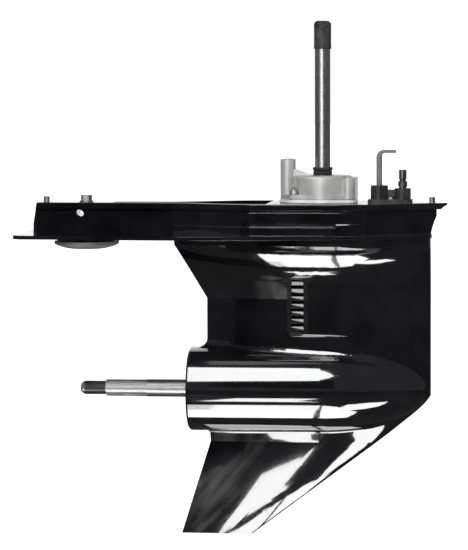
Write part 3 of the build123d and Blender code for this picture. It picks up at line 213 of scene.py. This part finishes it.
# %% [markdown]
# ### What the floor shows in mirror images
# The skeg looks down at the floor in front of it, so a blank dark floor would leave it a blank black. On
# the real unit it is cloudy, from fine scratches that catch a pale floor. Here a stretched noise gives the
# floor pale streaks, only in the strip that the skeg reflects. That strip lies between two lines through
# the point under the drive shaft, which are lines of one quotient of X and Y. Far behind the unit the floor
# is white, like the window above.

# %% Floor in mirror images
WHITE_FROM = (2.5, 4.0)  # Y over which the floor turns white
STRIP_FAR_END, STRIP_NEAR_END = (-2.8, -2.2), (-0.9, -0.7)  # Y
STRIP_BOW_SIDE, STRIP_AFT_SIDE = (0.22, 0.28), (0.40, 0.50)  # X divided by Y
CLOUDS, STREAK_STRENGTH = (0.42, 0.72), 1.6  # the noise's values from which the streaks are made


def floor_in_mirrors(tree, spot):
    """Strength of the floor in mirror images: white far behind, streaks in the skeg's strip, else none."""
    where = add_node(tree, "SeparateXYZ", {0: spot}).outputs
    far = add_node(tree, "VectorMath", {0: spot}, operation="LENGTH").outputs["Value"]
    straight_back = between(tree, math_node(tree, "DIVIDE", where["Y"], far), 0.0, 1.0, STRAIGHT_BACK)
    white = product(tree, between(tree, where["Y"], 0.0, 1.0, WHITE_FROM), straight_back)
    drawn = add_node(tree, "Mapping", {"Vector": spot, "Scale": (1.0, 0.25, 1.0)}).outputs[0]
    noise = {"Vector": drawn, "Scale": 9.0, "Detail": 8.0, "Roughness": 0.7}
    clouds = add_node(tree, "TexNoise", noise).outputs["Fac"]
    slant = math_node(tree, "DIVIDE", where["X"], where["Y"])
    streaks = product(
        tree,
        between(tree, clouds, 0.0, STREAK_STRENGTH, CLOUDS),
        between(tree, where["Y"], 1.0, 0.0, STRIP_NEAR_END),
        between(tree, where["Y"], 0.0, 1.0, STRIP_FAR_END),
        between(tree, slant, 0.0, 1.0, STRIP_BOW_SIDE),
        between(tree, slant, 1.0, 0.0, STRIP_AFT_SIDE),
    )
    return math_node(tree, "MAXIMUM", white, streaks)


print("floor helper ready")

# %% [markdown]
# ### Floor
# The floor is pale paper. It takes the lamps' light and keeps the unit's soft shadow. For the camera it
# also glows, a little near the unit and fully further off, so that it runs into the white background with
# no horizon.

# %% Floor
NEAR_GLOW, FAR_GLOW = 0.29, 1.1
GLOW_FROM, GLOW_TO = 0.9, 2.2  # distance from the unit over which the glow rises
PAPER, PAPER_IN_MIRRORS = 0.8, 0.05
floor_paint = bpy.data.materials.new("floor_paint")
tree = blank_tree(floor_paint)
path = add_node(tree, "LightPath").outputs
spot = add_node(tree, "TexCoord").outputs["Object"]
far = add_node(tree, "VectorMath", {0: spot}, operation="LENGTH").outputs["Value"]
mirror_ray = is_mirror_ray(tree, path)
glow = between(tree, far, NEAR_GLOW, FAR_GLOW, (GLOW_FROM, GLOW_TO))
mirrored = product(tree, mirror_ray, floor_in_mirrors(tree, spot))
tone = between(tree, mirror_ray, PAPER, PAPER_IN_MIRRORS)
paper = {
    "Base Color": add_node(tree, "CombineColor", {"Red": tone, "Green": tone, "Blue": tone}).outputs[0],
    "Roughness": 0.8,
    "Emission Color": (1, 1, 1, 1),
    "Emission Strength": between(tree, path["Is Camera Ray"], mirrored, glow),
}
add_node(tree, "OutputMaterial", {"Surface": add_node(tree, "BsdfPrincipled", paper).outputs[0]})
FLOOR_HALF = 30.0
around = [(-1, -1), (1, -1), (1, 1), (-1, 1)]
floor = card("floor", [(x * FLOOR_HALF, y * FLOOR_HALF, FLOOR) for x, y in around], floor_paint)
print("floor width, m:", 2 * FLOOR_HALF)

# %% [markdown]
# ### Reflector cards
# A highlight gets its shape from the card that makes it. The card's place is found backwards: follow the
# sight line from the camera to the enamel where the highlight should begin, mirror it in the surface there,
# and see where it goes. Rays from the gearcase's upper half end high up in front, rays from its lower half
# and from the flare under the deck end on the floor, and rays from the skeg end low in front. The cards
# glow only in mirror images, so their light leaves no trace on matt surfaces and they cast no shadow.

# %% Card paints
def card_paint(name, strength):
    """White light of one strength, for a card that is seen only in mirror images."""
    material = bpy.data.materials.new(name)
    tree = blank_tree(material)
    glow = add_node(tree, "Emission", {"Color": (1, 1, 1, 1), "Strength": strength})
    add_node(tree, "OutputMaterial", {"Surface": glow.outputs[0]})
    return material


bright_card = card_paint("bright_card", 12.0)
pale_card = card_paint("pale_card", 7.0)
grey_card = card_paint("grey_card", 3.0)
dim_card = card_paint("dim_card", 1.3)


def upright_card(name, y, outline, material):
    """A card that stands at y, from its outline in X and Z."""
    return card(name, [(x, y, z) for x, z in outline], material)


def lying_card(name, outline, material):
    """A card that lies on the floor, from its outline in X and Y."""
    return card(name, [(x, y, CARD_TABLE) for x, y in outline], material)


print("card paints: bright, pale, grey, dim")

# %% [markdown]
# ### Cards for the enamel
# The overhead card draws the gearcase's upper band, and its slanting lower edge ends that band in a point.
# Two cards on the floor, with a gap between them, draw the lower band and the long patch under the deck.
# The gap is the thin dark line across both. A low card stands for the skeg, and a nearer one for its
# leading edge. One card behind the unit, much weaker, keeps the port side from being blank when it is
# looked at from there.

# %% Cards for the enamel
OVERHEAD_Y, SKEG_CARD_Y, NOSE_CARD_Y = -1.20, -0.60, -0.25
overhead = [
    (-0.40, 0.24), (-0.34, 0.25), (-0.14, 0.345), (-0.054, 0.415), (0.06, 0.81),
    (-0.10, 1.60), (-0.255, 2.20), (-0.62, 2.20), (-0.50, 1.30), (-0.43, 0.90),
]
aft_table = [(-0.245, -0.41), (-0.035, -0.42), (-0.035, -0.09), (-0.245, -0.09)]
bow_table = [(-0.025, -0.42), (0.04, -0.37), (0.11, -0.19), (0.06, -0.09), (-0.025, -0.09)]
for_skeg = [(-0.25, -0.598), (-0.18, -0.486), (-0.05, -0.480), (-0.085, -0.56), (-0.05, -0.598)]
for_nose = [
    (0.06, -0.59), (0.045, -0.50), (0.07, -0.44), (0.16, -0.43), (0.26, -0.46), (0.22, -0.56), (0.16, -0.59),
]
enamel_cards = [
    upright_card("overhead_card", OVERHEAD_Y, overhead, bright_card),
    lying_card("aft_table_card", aft_table, bright_card),
    lying_card("bow_table_card", bow_table, bright_card),
    upright_card("port_overhead_card", -OVERHEAD_Y, overhead, dim_card),
    upright_card("skeg_card", SKEG_CARD_Y, for_skeg, bright_card),
    upright_card("nose_card", NOSE_CARD_Y, for_nose, bright_card),
]
print("cards for the enamel:", len(enamel_cards))

# %% [markdown]
# ### Cards for bare metal
# A round shaft shows a card as one bright line along it. The drive shaft stands upright, so its line comes
# from a card straight in front. The propeller shaft lies along X, so its two lines come from a card high in
# front and one on the floor, and a weak card between them lightens the dark that is left.

# %% Cards for bare metal
METAL_CARD_Y, THREAD_CARD_Y = -1.25, -1.26


def rectangle(left, low, right, high):
    """Corners of an upright or lying rectangle, from its left, low, right and high sides."""
    return [(left, low), (right, low), (right, high), (left, high)]


metal_cards = [
    upright_card("shaft_card", METAL_CARD_Y, rectangle(-0.30, -0.10, 0.06, 0.60), grey_card),
    upright_card("thread_card", THREAD_CARD_Y, rectangle(-0.75, -0.50, -0.40, 0.75), dim_card),
    upright_card("spline_card", METAL_CARD_Y, rectangle(-0.90, 1.10, -0.10, 1.80), pale_card),
    lying_card("bare_table_card", rectangle(-0.70, -0.46, -0.20, -0.26), pale_card),
]
for item in enamel_cards + metal_cards:
    item.visible_camera = False
    item.visible_diffuse = False
    item.visible_shadow = False
print("cards for bare metal:", len(metal_cards))

# %% [markdown]
# ### Lamps
# Three large soft lamps do the plain work: one from the upper left, a weaker one from the right to open the
# shadows, and one from behind and above that parts the deck's top from the dark. Mirror images leave them
# out, or they would draw square patches in the enamel.

# %% Lamps
def soft_box(name, place, target, size, power):
    """A rectangular lamp of size metres at place, facing target, out of sight and out of mirror images."""
    lamp = bpy.data.lights.new(name, "AREA")
    lamp.shape = "RECTANGLE"
    lamp.size, lamp.size_y = size
    lamp.energy = power
    obj = bpy.data.objects.new(name, lamp)
    bpy.context.scene.collection.objects.link(obj)
    aim(obj, place, target)
    obj.visible_camera = False
    obj.visible_glossy = False
    return obj


middle = Vector((-0.1, 0, -0.1))
LAMP_SIZE = (1.2, 1.0)
lamps = [
    soft_box(name, middle + direction(azimuth, elevation) * distance, middle, LAMP_SIZE, watts)
    for name, azimuth, elevation, distance, watts in (
        ("key", -25, 40, 1.6, 26),
        ("fill", 55, 20, 1.8, 12),
        ("back", 170, 50, 1.8, 14),
    )
]
print("lamps:", [lamp.name for lamp in lamps])

# %% [markdown]
# ## Finishes
# Every finish here is the same small recipe. A broad, faint noise moves the colour a little, because no
# real surface has one even tone. A fine noise, stretched along the tool's path, sets the roughness and a
# very low bump. The Bevel node bends the normal near an edge, so sharp solids catch a thin line of light
# there, and where its normal leaves the face's own, the edge is a little worn. An image texture could hold
# all this, but it would need every solid unwrapped, and it would blur when looked at closely.

# %% Finish helper
BROADER = 12  # how many times coarser the colour's noise is than the grain
finishes = {}


def edge_wear(tree, rounded, grain):
    """Share of wear: one where the rounded normal turns away from the face's own, broken up by the grain."""
    face = add_node(tree, "NewGeometry").outputs["Normal"]
    same = add_node(tree, "VectorMath", {0: rounded, 1: face}, operation="DOT_PRODUCT").outputs["Value"]
    turned_away = between(tree, same, 1.0, 0.0, (0.86, 0.98))
    return product(tree, turned_away, between(tree, grain, 0.2, 1.0, (0.4, 0.6)))


def finish(
    name, dark, light, rough, grain, depth, metal=0.0, stretch=(1, 1, 1), rounding=0.0005, worn=None, **more
):
    """A procedural finish, kept under its name.

    dark and light are the two ends of its colour, rough its least and greatest roughness, grain the noise's
    scale per metre, depth the bump's height in metres, stretch how the grain is drawn out along each axis,
    rounding the edge's radius in metres, worn the colour of rubbed edges, and more any other shader inputs.
    """
    material = bpy.data.materials.new(name)
    tree = blank_tree(material)
    spot = add_node(tree, "TexCoord").outputs["Object"]
    drawn = add_node(tree, "Mapping", {"Vector": spot, "Scale": stretch}).outputs[0]
    broad_noise = {"Vector": spot, "Scale": grain / BROADER, "Detail": 5.0}
    broad = add_node(tree, "TexNoise", broad_noise).outputs["Fac"]
    fine = add_node(tree, "TexNoise", {"Vector": drawn, "Scale": grain, "Detail": 4.0}).outputs["Fac"]
    ramp = add_node(tree, "ValToRGB", {"Fac": broad})
    for stop, place, end in zip(ramp.color_ramp.elements, (0.35, 0.65), (dark, light)):
        stop.position = place
        stop.color = (*end, 1)
    colour = ramp.outputs["Color"]
    rounded = add_node(tree, "Bevel", {"Radius": rounding}, samples=4).outputs[0]
    if worn:
        mix = {"Fac": edge_wear(tree, rounded, fine), "Color1": colour, "Color2": (*worn, 1)}
        colour = add_node(tree, "MixRGB", mix).outputs[0]
    values = {
        "Base Color": colour,
        "Metallic": metal,
        "Roughness": between(tree, fine, *rough, (0.3, 0.7)),
        "Normal": add_node(tree, "Bump", {"Height": fine, "Distance": depth, "Normal": rounded}).outputs[0],
    }
    shader = add_node(tree, "BsdfPrincipled", {**values, **more})
    add_node(tree, "OutputMaterial", {"Surface": shader.outputs[0]})
    finishes[name] = material


def grey(value):
    """A neutral colour."""
    return value, value, value


print("finish helper ready")

# %% [markdown]
# ### Black enamel
# The housing is cast aluminium, sprayed with a thick black enamel and polished. Under the gloss the casting
# is never quite flat, so straight card edges look slightly wavy in it. A clear coat over a glossy base
# gives the deep shine; one layer alone would need cards several times as strong to draw its white bands.

# %% Black enamel
gloss = {"IOR": 1.5, "Coat Weight": 1.0, "Coat IOR": 1.5, "Coat Roughness": 0.03}
blue_black, soft_black = (0.003, 0.003, 0.004), (0.007, 0.007, 0.008)
finish("black_paint", blue_black, soft_black, (0.05, 0.11), 260, 0.000012, rounding=0.0011, **gloss)
print("enamel:", finishes["black_paint"].name)

# %% [markdown]
# ### Shaft steel
# Shafts are ground between centres, so their fine scratches run round them, and the grain is stretched that
# way. The drive shaft turns about Z and the propeller shaft about X, so each has a finish of its own.

# %% Shaft steel
pale_edge = (0.80, 0.80, 0.79)
round_z, round_x = (0.03, 0.03, 1.0), (1.0, 0.03, 0.03)
steel, bright_steel = grey(0.60), (0.70, 0.70, 0.69)
finish("polished_steel", steel, bright_steel, (0.27, 0.31), 900, 0.0000006, 1.0, round_z, worn=pale_edge)
dull_steel, plain_steel = (0.50, 0.50, 0.49), (0.60, 0.60, 0.59)
finish("shaft_steel", dull_steel, plain_steel, (0.32, 0.38), 900, 0.0000006, 1.0, round_x, worn=pale_edge)
print("shaft finishes: polished_steel, shaft_steel")

# %% [markdown]
# ### Other steels
# Gears and bearings are hardened and a little darker. A thread holds oil and looks nearly black. Stainless
# pins, studs and plates are bright and rolled, which leaves lines one way only.

# %% Other steels
rolled = (1, 0.2, 1)
dull_sheet, bright_sheet = (0.52, 0.52, 0.51), (0.68, 0.68, 0.67)
finish("thread_steel", grey(0.12), grey(0.24), (0.28, 0.45), 500, 0.00001, 1.0, worn=grey(0.3))
finish("gear_steel", (0.20, 0.20, 0.205), grey(0.36), (0.25, 0.42), 420, 0.00001, 1.0, worn=grey(0.6))
finish("bearing_steel", (0.46, 0.46, 0.47), grey(0.58), (0.15, 0.25), 700, 0.000004, 1.0, worn=pale_edge)
finish("stainless", dull_sheet, bright_sheet, (0.38, 0.50), 500, 0.000004, 1.0, rolled, worn=pale_edge)
print("finishes so far:", len(finishes))

# %% [markdown]
# ### Zinc, bronze and gasket
# The anode is zinc as it left the mould, dull and pitted, because it is meant to be eaten away. The big nut
# that holds the bearing carrier is bronze, which doesn't seize in aluminium, and so is the cam follower
# inside, which slides on steel. The gasket is pressed fibre, rough all over.

# %% Zinc, bronze and gasket
zinc_pits = 0.00012
finish("zinc", (0.24, 0.25, 0.26), (0.50, 0.51, 0.52), (0.45, 0.7), 220, zinc_pits, 0.7, rounding=0.001)
brown_bronze, gold_bronze, rubbed_bronze = (0.30, 0.20, 0.09), (0.52, 0.37, 0.18), (0.7, 0.5, 0.28)
finish("bronze", brown_bronze, gold_bronze, (0.25, 0.4), 400, 0.00001, 1.0, worn=rubbed_bronze)
finish("gasket", (0.16, 0.13, 0.09), (0.36, 0.31, 0.24), (0.8, 0.95), 900, 0.00003)
print("finishes so far:", len(finishes))

# %% [markdown]
# ### Rubber and mouldings
# Rubber and plastic have no metal in them, and their look comes from how rough they are: seals are matt,
# the cap and the shift block are satin, and the blades of the intake screens are glossier, so that they
# catch light. The pump housing is a pale satin moulding, and the plate below it is paler still.

# %% Rubber and mouldings
brushed_up = (1, 1, 0.15)
finish("black_rubber", grey(0.010), grey(0.030), (0.55, 0.75), 700, 0.00002)
finish("black_plastic", (0.012, 0.012, 0.013), (0.035, 0.035, 0.036), (0.28, 0.42), 800, 0.00001)
finish("elbow_nylon", grey(0.10), (0.15, 0.15, 0.147), (0.45, 0.6), 600, 0.00001)
finish("screen_plastic", grey(0.006), grey(0.012), (0.14, 0.24), 600, 0.00001, rounding=0.0012)
pump_grey, pale_pump_grey = (0.42, 0.42, 0.41), (0.56, 0.56, 0.545)
finish("pump_alloy", pump_grey, pale_pump_grey, (0.30, 0.40), 500, 0.000006, 0.5, brushed_up, rounding=0.0008)
plate_grey, pale_plate_grey = (0.62, 0.62, 0.61), (0.76, 0.76, 0.745)
finish("pump_plate", plate_grey, pale_plate_grey, (0.35, 0.5), 500, 0.000006, 0.2, rounding=0.0008)
print("finishes:", len(finishes))

# %% [markdown]
# ### Giving the solids their finishes
# Each solid takes the finish that its record names. Four get a closer match: the propeller shaft, whose
# grain runs the other way, the two intake screens and the plate below the water pump.

# %% Give the solids their finishes
slots = {part["node"]: part["material_slot"] for part in frame["record"]["subparts"]}
slots |= {"propeller_shaft": "shaft_steel", "pump_base": "pump_plate"}
slots |= {"intake_screen_starboard": "screen_plastic", "intake_screen_port": "screen_plastic"}
for name, obj in nodes.items():
    obj.data.materials.clear()
    obj.data.materials.append(finishes[slots[name]])
print("solids with a finish:", len(nodes))

# %% [markdown]
# ## Turned and moulded surfaces
# A solid model leaves a thread as a plain cylinder and a knurl as a smooth collar. Both are a radius that
# changes with the angle round the axis and the place along it, so both are made as one grid of points
# worked out in one go. A Screw modifier could draw the thread, but its start and end would need trimming by
# hand.

# %% Skin helper
def face_outwards(mesh, points, triangles):
    """Flips the faces if the volume, a sum of triple products of the triangles' corners, is negative."""
    first, second, third = (points[triangles[:, corner]] for corner in range(3))
    volume = np.einsum("ij,ij->i", first, np.cross(second, third)).sum() / 6
    if volume < 0:
        mesh.flip_normals()
    return abs(volume)


def skin(name, rings, finish_name, body, sharp=40):
    """A closed surface through rings of points.

    rings is an array of rings, each with the same number of points round it. Neighbouring rings are joined by
    quads, and the first and last are closed by a fan to their centre.
    """
    rows, around = rings.shape[:2]
    index = np.arange(rows * around).reshape(rows, around)
    ahead = np.roll(index, -1, axis=1)
    quads = np.stack([index[:-1], ahead[:-1], ahead[1:], index[1:]], axis=-1).reshape(-1, 4)
    low_fan = np.stack([np.full(around, rows * around), ahead[0], index[0]], axis=-1)
    high_fan = np.stack([np.full(around, rows * around + 1), index[-1], ahead[-1]], axis=-1)
    points = np.concatenate([rings.reshape(-1, 3), rings[[0, -1]].mean(axis=1)])
    mesh = bpy.data.meshes.new(name)
    mesh.from_pydata(points.tolist(), [], quads.tolist() + low_fan.tolist() + high_fan.tolist())
    triangles = np.concatenate([quads[:, [0, 1, 2]], quads[:, [0, 2, 3]], low_fan, high_fan])
    volume = face_outwards(mesh, points, triangles)
    mesh.polygons.foreach_set("use_smooth", np.ones(len(mesh.polygons), dtype=bool))
    mesh.set_sharp_from_angle(angle=math.radians(sharp))
    mesh.materials.append(finishes[finish_name])
    obj = bpy.data.objects.new(name, mesh)
    bpy.context.scene.collection.objects.link(obj)
    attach(obj, body)
    print(name, "faces:", len(mesh.polygons), "volume, mm3:", round(volume * 1e9))
    return obj


def turned(radius, along, centre, axis):
    """Rings of a turned surface. radius is an array over (place, angle), and along the places on the axis.

    A point is the radius times the cosine and the sine of its angle, square to the axis at its place.
    """
    angle = np.linspace(0, 2 * np.pi, radius.shape[1], endpoint=False)
    across, up = radius * np.cos(angle), radius * np.sin(angle)
    along = np.broadcast_to(along[:, None], radius.shape)
    order = [along, across, up] if axis == "X" else [across, up, along]
    return np.stack(order, axis=-1) + np.array(centre)


def triangle_wave(phase):
    """Rises from 0 to 1 and falls back to 0 in each whole step of phase."""
    return 1 - np.abs(2 * (phase % 1.0) - 1)


def fade_out(along, reach):
    """1 along the middle, and down to 0 over reach at both ends, as one column."""
    return np.clip(np.minimum(along - along[0], along[-1] - along) / reach, 0, 1)[:, None]


print("skin helpers ready")

# %% [markdown]
# ### Propeller thread
# The thread takes the nut that holds the propeller. Its flanks are straight, so the radius rises and falls
# as a triangle wave of the place along the shaft plus the share of a turn. It fades out at both ends, as a
# cut thread does. It lies over the plain cylinder of the solid shaft, which keeps the right diameter for
# everything that is fitted to it.

# %% Propeller thread
shaft_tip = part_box("propeller_shaft")[0].x
tip_to_thread, thread_length, thread_pitch = 0.0052, 0.0313, 0.0016
thread_root, thread_depth = 0.00962, 0.00048
along = shaft_tip + tip_to_thread + np.linspace(0, thread_length, 200)
turn = np.linspace(0, 1, 48, endpoint=False)
wave = triangle_wave(along[:, None] / thread_pitch + turn) * fade_out(along, thread_pitch)
rings = turned(thread_root + thread_depth * wave, along, (0, 0, joint_place["propeller_shaft_spin"][2]), "X")
skin("propeller_thread", rings, "thread_steel", "propeller_shaft")
print("turns of thread:", round(thread_length / thread_pitch))

# %% [markdown]
# ### Knurled collar of the shift shaft
# The collar gives a grip for turning the shaft by hand while the unit is on the bench. Its diamonds come
# from two sets of slanting grooves that cross: the radius drops by the greater of two triangle waves, one
# for each slant.

# %% Shift collar
foot_of_collar, top_of_collar = 0.0232, 0.0298
collar_radius, diamond_height = 0.00642, 0.00035
diamonds_round, diamond_length, chamfer = 20, 0.0018, 0.0006
along = np.linspace(foot_of_collar, top_of_collar, 44)
round_collar = diamonds_round * np.linspace(0, 1, 160, endpoint=False)
up_collar = (along[:, None] - foot_of_collar) / diamond_length
grooves = np.maximum(triangle_wave(round_collar + up_collar), triangle_wave(round_collar - up_collar))
radius = collar_radius + diamond_height * (1 - grooves) * fade_out(along, chamfer)
rings = turned(radius, along, (joint_place["shift_turn"][0], 0, 0), "Z")
skin("shift_shaft_knurl", rings, "gear_steel", "shift")
print("height of the collar, mm:", round((top_of_collar - foot_of_collar) * 1000, 1))

# %% [markdown]
# ### Cap over the drive shaft's end
# A soft black cap keeps the splines clean until the unit is fitted. Its shoulder is round, and its grip is
# moulded with a fine net of ridges. The profile is a straight wall that ends in a quarter circle; the net
# is the product of two slanting waves.

# %% Drive shaft cap
low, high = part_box("drive_shaft_cap")
radius, shoulder = (high.x - low.x) / 2, 0.006
ridges_round, ridge_rise, net_depth = 15, 0.0011, 0.00022
smooth_foot, smooth_top = 0.006, 0.002  # plain bands below and above the grip
bend = np.linspace(0, np.pi / 2, 10)[1:]
wall = np.linspace(low.z, high.z - shoulder, 110)
along = np.concatenate([wall, high.z - shoulder + shoulder * np.sin(bend)])
outline = np.concatenate([np.full(wall.size, radius), radius - shoulder * (1 - np.cos(bend))])
turn = ridges_round * np.linspace(0, 2 * np.pi, 150, endpoint=False)
lift = (along[:, None] - low.z) / ridge_rise
net = 1 - np.cos(turn + lift) * np.cos(turn - lift)
grip = ((along > low.z + smooth_foot) & (along < high.z - shoulder - smooth_top))[:, None]
rings = turned(outline[:, None] - net_depth * net * grip, along, (0, 0, 0), "Z")
cap = skin("drive_shaft_end_cap", rings, "black_plastic", "drive", sharp=60)
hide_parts("drive_shaft_cap")

# %% [markdown]
# ### Vent elbow
# A hose goes over this elbow. It is a round tube whose middle line goes up, through a quarter circle and
# out towards the bow, and whose radius shrinks from the post to the arm. The end is open: the last rings
# turn back inside the bore. Each ring stands square to the middle line, so its points are the line's point
# plus the cosine of the angle times the direction across the bend and the sine times the direction to port.

# %% Vent elbow
low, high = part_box("vent_elbow")
post_radius, arm_radius, bend_radius = 0.00425, 0.0024, 0.0075
elbow_wall, bore_depth, room_above, taper = 0.0009, 0.004, 0.0012, 0.8
post_x, arm_z = low.x + post_radius, high.z - arm_radius - room_above
post = np.linspace(low.z, arm_z - bend_radius, 8)
bend = np.linspace(0, np.pi / 2, 13)[1:]
arm = np.append(np.linspace(post_x + bend_radius, high.x, 8)[1:], [high.x, high.x - bore_depth])
line_x = np.concatenate([np.full(post.size, post_x), post_x + bend_radius * (1 - np.cos(bend)), arm])
line_z = np.concatenate([post, arm_z - bend_radius * (1 - np.sin(bend)), np.full(arm.size, arm_z)])
middle_line = np.stack([line_x, np.zeros(line_x.size), line_z], axis=-1)
lean = np.concatenate([np.zeros(post.size), bend, np.full(arm.size, np.pi / 2)])
tube = post_radius + (arm_radius - post_radius) * (lean / (np.pi / 2)) ** taper
tube[-2:] = arm_radius - elbow_wall
turn = np.linspace(0, 2 * np.pi, 32, endpoint=False)[None, :, None]
across = np.stack([np.cos(lean), np.zeros(lean.size), -np.sin(lean)], axis=-1)[:, None]
to_port = np.array([0.0, 1.0, 0.0])
rings = middle_line[:, None] + tube[:, None, None] * (np.cos(turn) * across + np.sin(turn) * to_port)
elbow = skin("vent_elbow_tube", rings, "elbow_nylon", "gearcase")
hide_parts("vent_elbow")

# %% [markdown]
# ### Lips of the water intakes
# Each intake sits in a shallow scoop in the strut. The scoop's upper and lower borders are low ridges in
# the casting, which run forward from the screen and die away. A ray cast onto the painted housing finds the
# surface, and an ellipse is carried along that line, half sunk in the casting. Its size follows a half
# circle along the lip, times a straight taper, so that the lip is thickest towards the screen.

# %% Intake lips
STEPS, AROUND = 40, 16
RAY_START = 0.2  # from the centre plane, outside the unit
lip_out, lip_up = 0.0020, 0.0028  # half of a lip's thickness, and of its height
lip_inset, lip_taper, lip_tip = 0.002, 0.6, 0.02


def skin_of_strut(x, z, side):
    """The Y of the strut's skin at x and z, found by a ray from that side."""
    ray = Vector((x, side * RAY_START, z)), Vector((0, -side, 0))
    return nodes["gear_housing"].ray_cast(*ray)[1].y


def lip(z, reach, side):
    """Rings of one lip that starts at the screen's aft edge at z and runs reach towards the bow.

    A point is the strut's skin plus the cosine of its angle outwards and the sine upwards, each times half of
    the lip's thickness or height and the size at that share of the length.
    """
    share = np.linspace(0, 1, STEPS)
    x = screen_aft + lip_inset + reach * share
    y = np.array([skin_of_strut(place, z, side) for place in x])
    half_circle = np.sqrt(np.clip(4 * share * (1 - share), 0, 1))
    size = (half_circle * (1 - lip_taper * share) + lip_tip)[:, None]
    turn = np.linspace(0, 2 * np.pi, AROUND, endpoint=False)
    out = y[:, None] + side * lip_out * size * np.cos(turn)
    return np.stack([np.broadcast_to(x[:, None], out.shape), out, z + lip_up * size * np.sin(turn)], axis=-1)


low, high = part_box("intake_screen_starboard")
screen_aft = low.x
for side, side_name in ((-1, "starboard"), (1, "port")):
    for edge_name, z, reach in (("upper", high.z + 0.0016, 0.036), ("lower", low.z - 0.0020, 0.085)):
        name = f"intake_lip_{edge_name}_{side_name}"
        skin(name, lip(z, reach, side), "black_paint", "gearcase")

# %% [markdown]
# ## Which card is for what
# A card strong enough to show white in black enamel would burn out a steel shaft. So each card shines only
# on the things it was cut for: the strong ones on the enamel and the screens, the weak ones on all the
# rest. Light linking does this: a card keeps a collection of the objects that it may light.

# %% Share out the cards
enamel, bare = (bpy.data.collections.new(name) for name in ("enamel", "bare"))
staged = {floor, *enamel_cards, *metal_cards}
for obj in bpy.data.objects:
    if obj.type == "MESH" and obj not in staged:
        painted = obj.data.materials[0] in (finishes["black_paint"], finishes["screen_plastic"])
        (enamel if painted else bare).objects.link(obj)
for cards, receivers in ((enamel_cards, enamel), (metal_cards, bare)):
    for item in cards:
        item.light_linking.receiver_collection = receivers
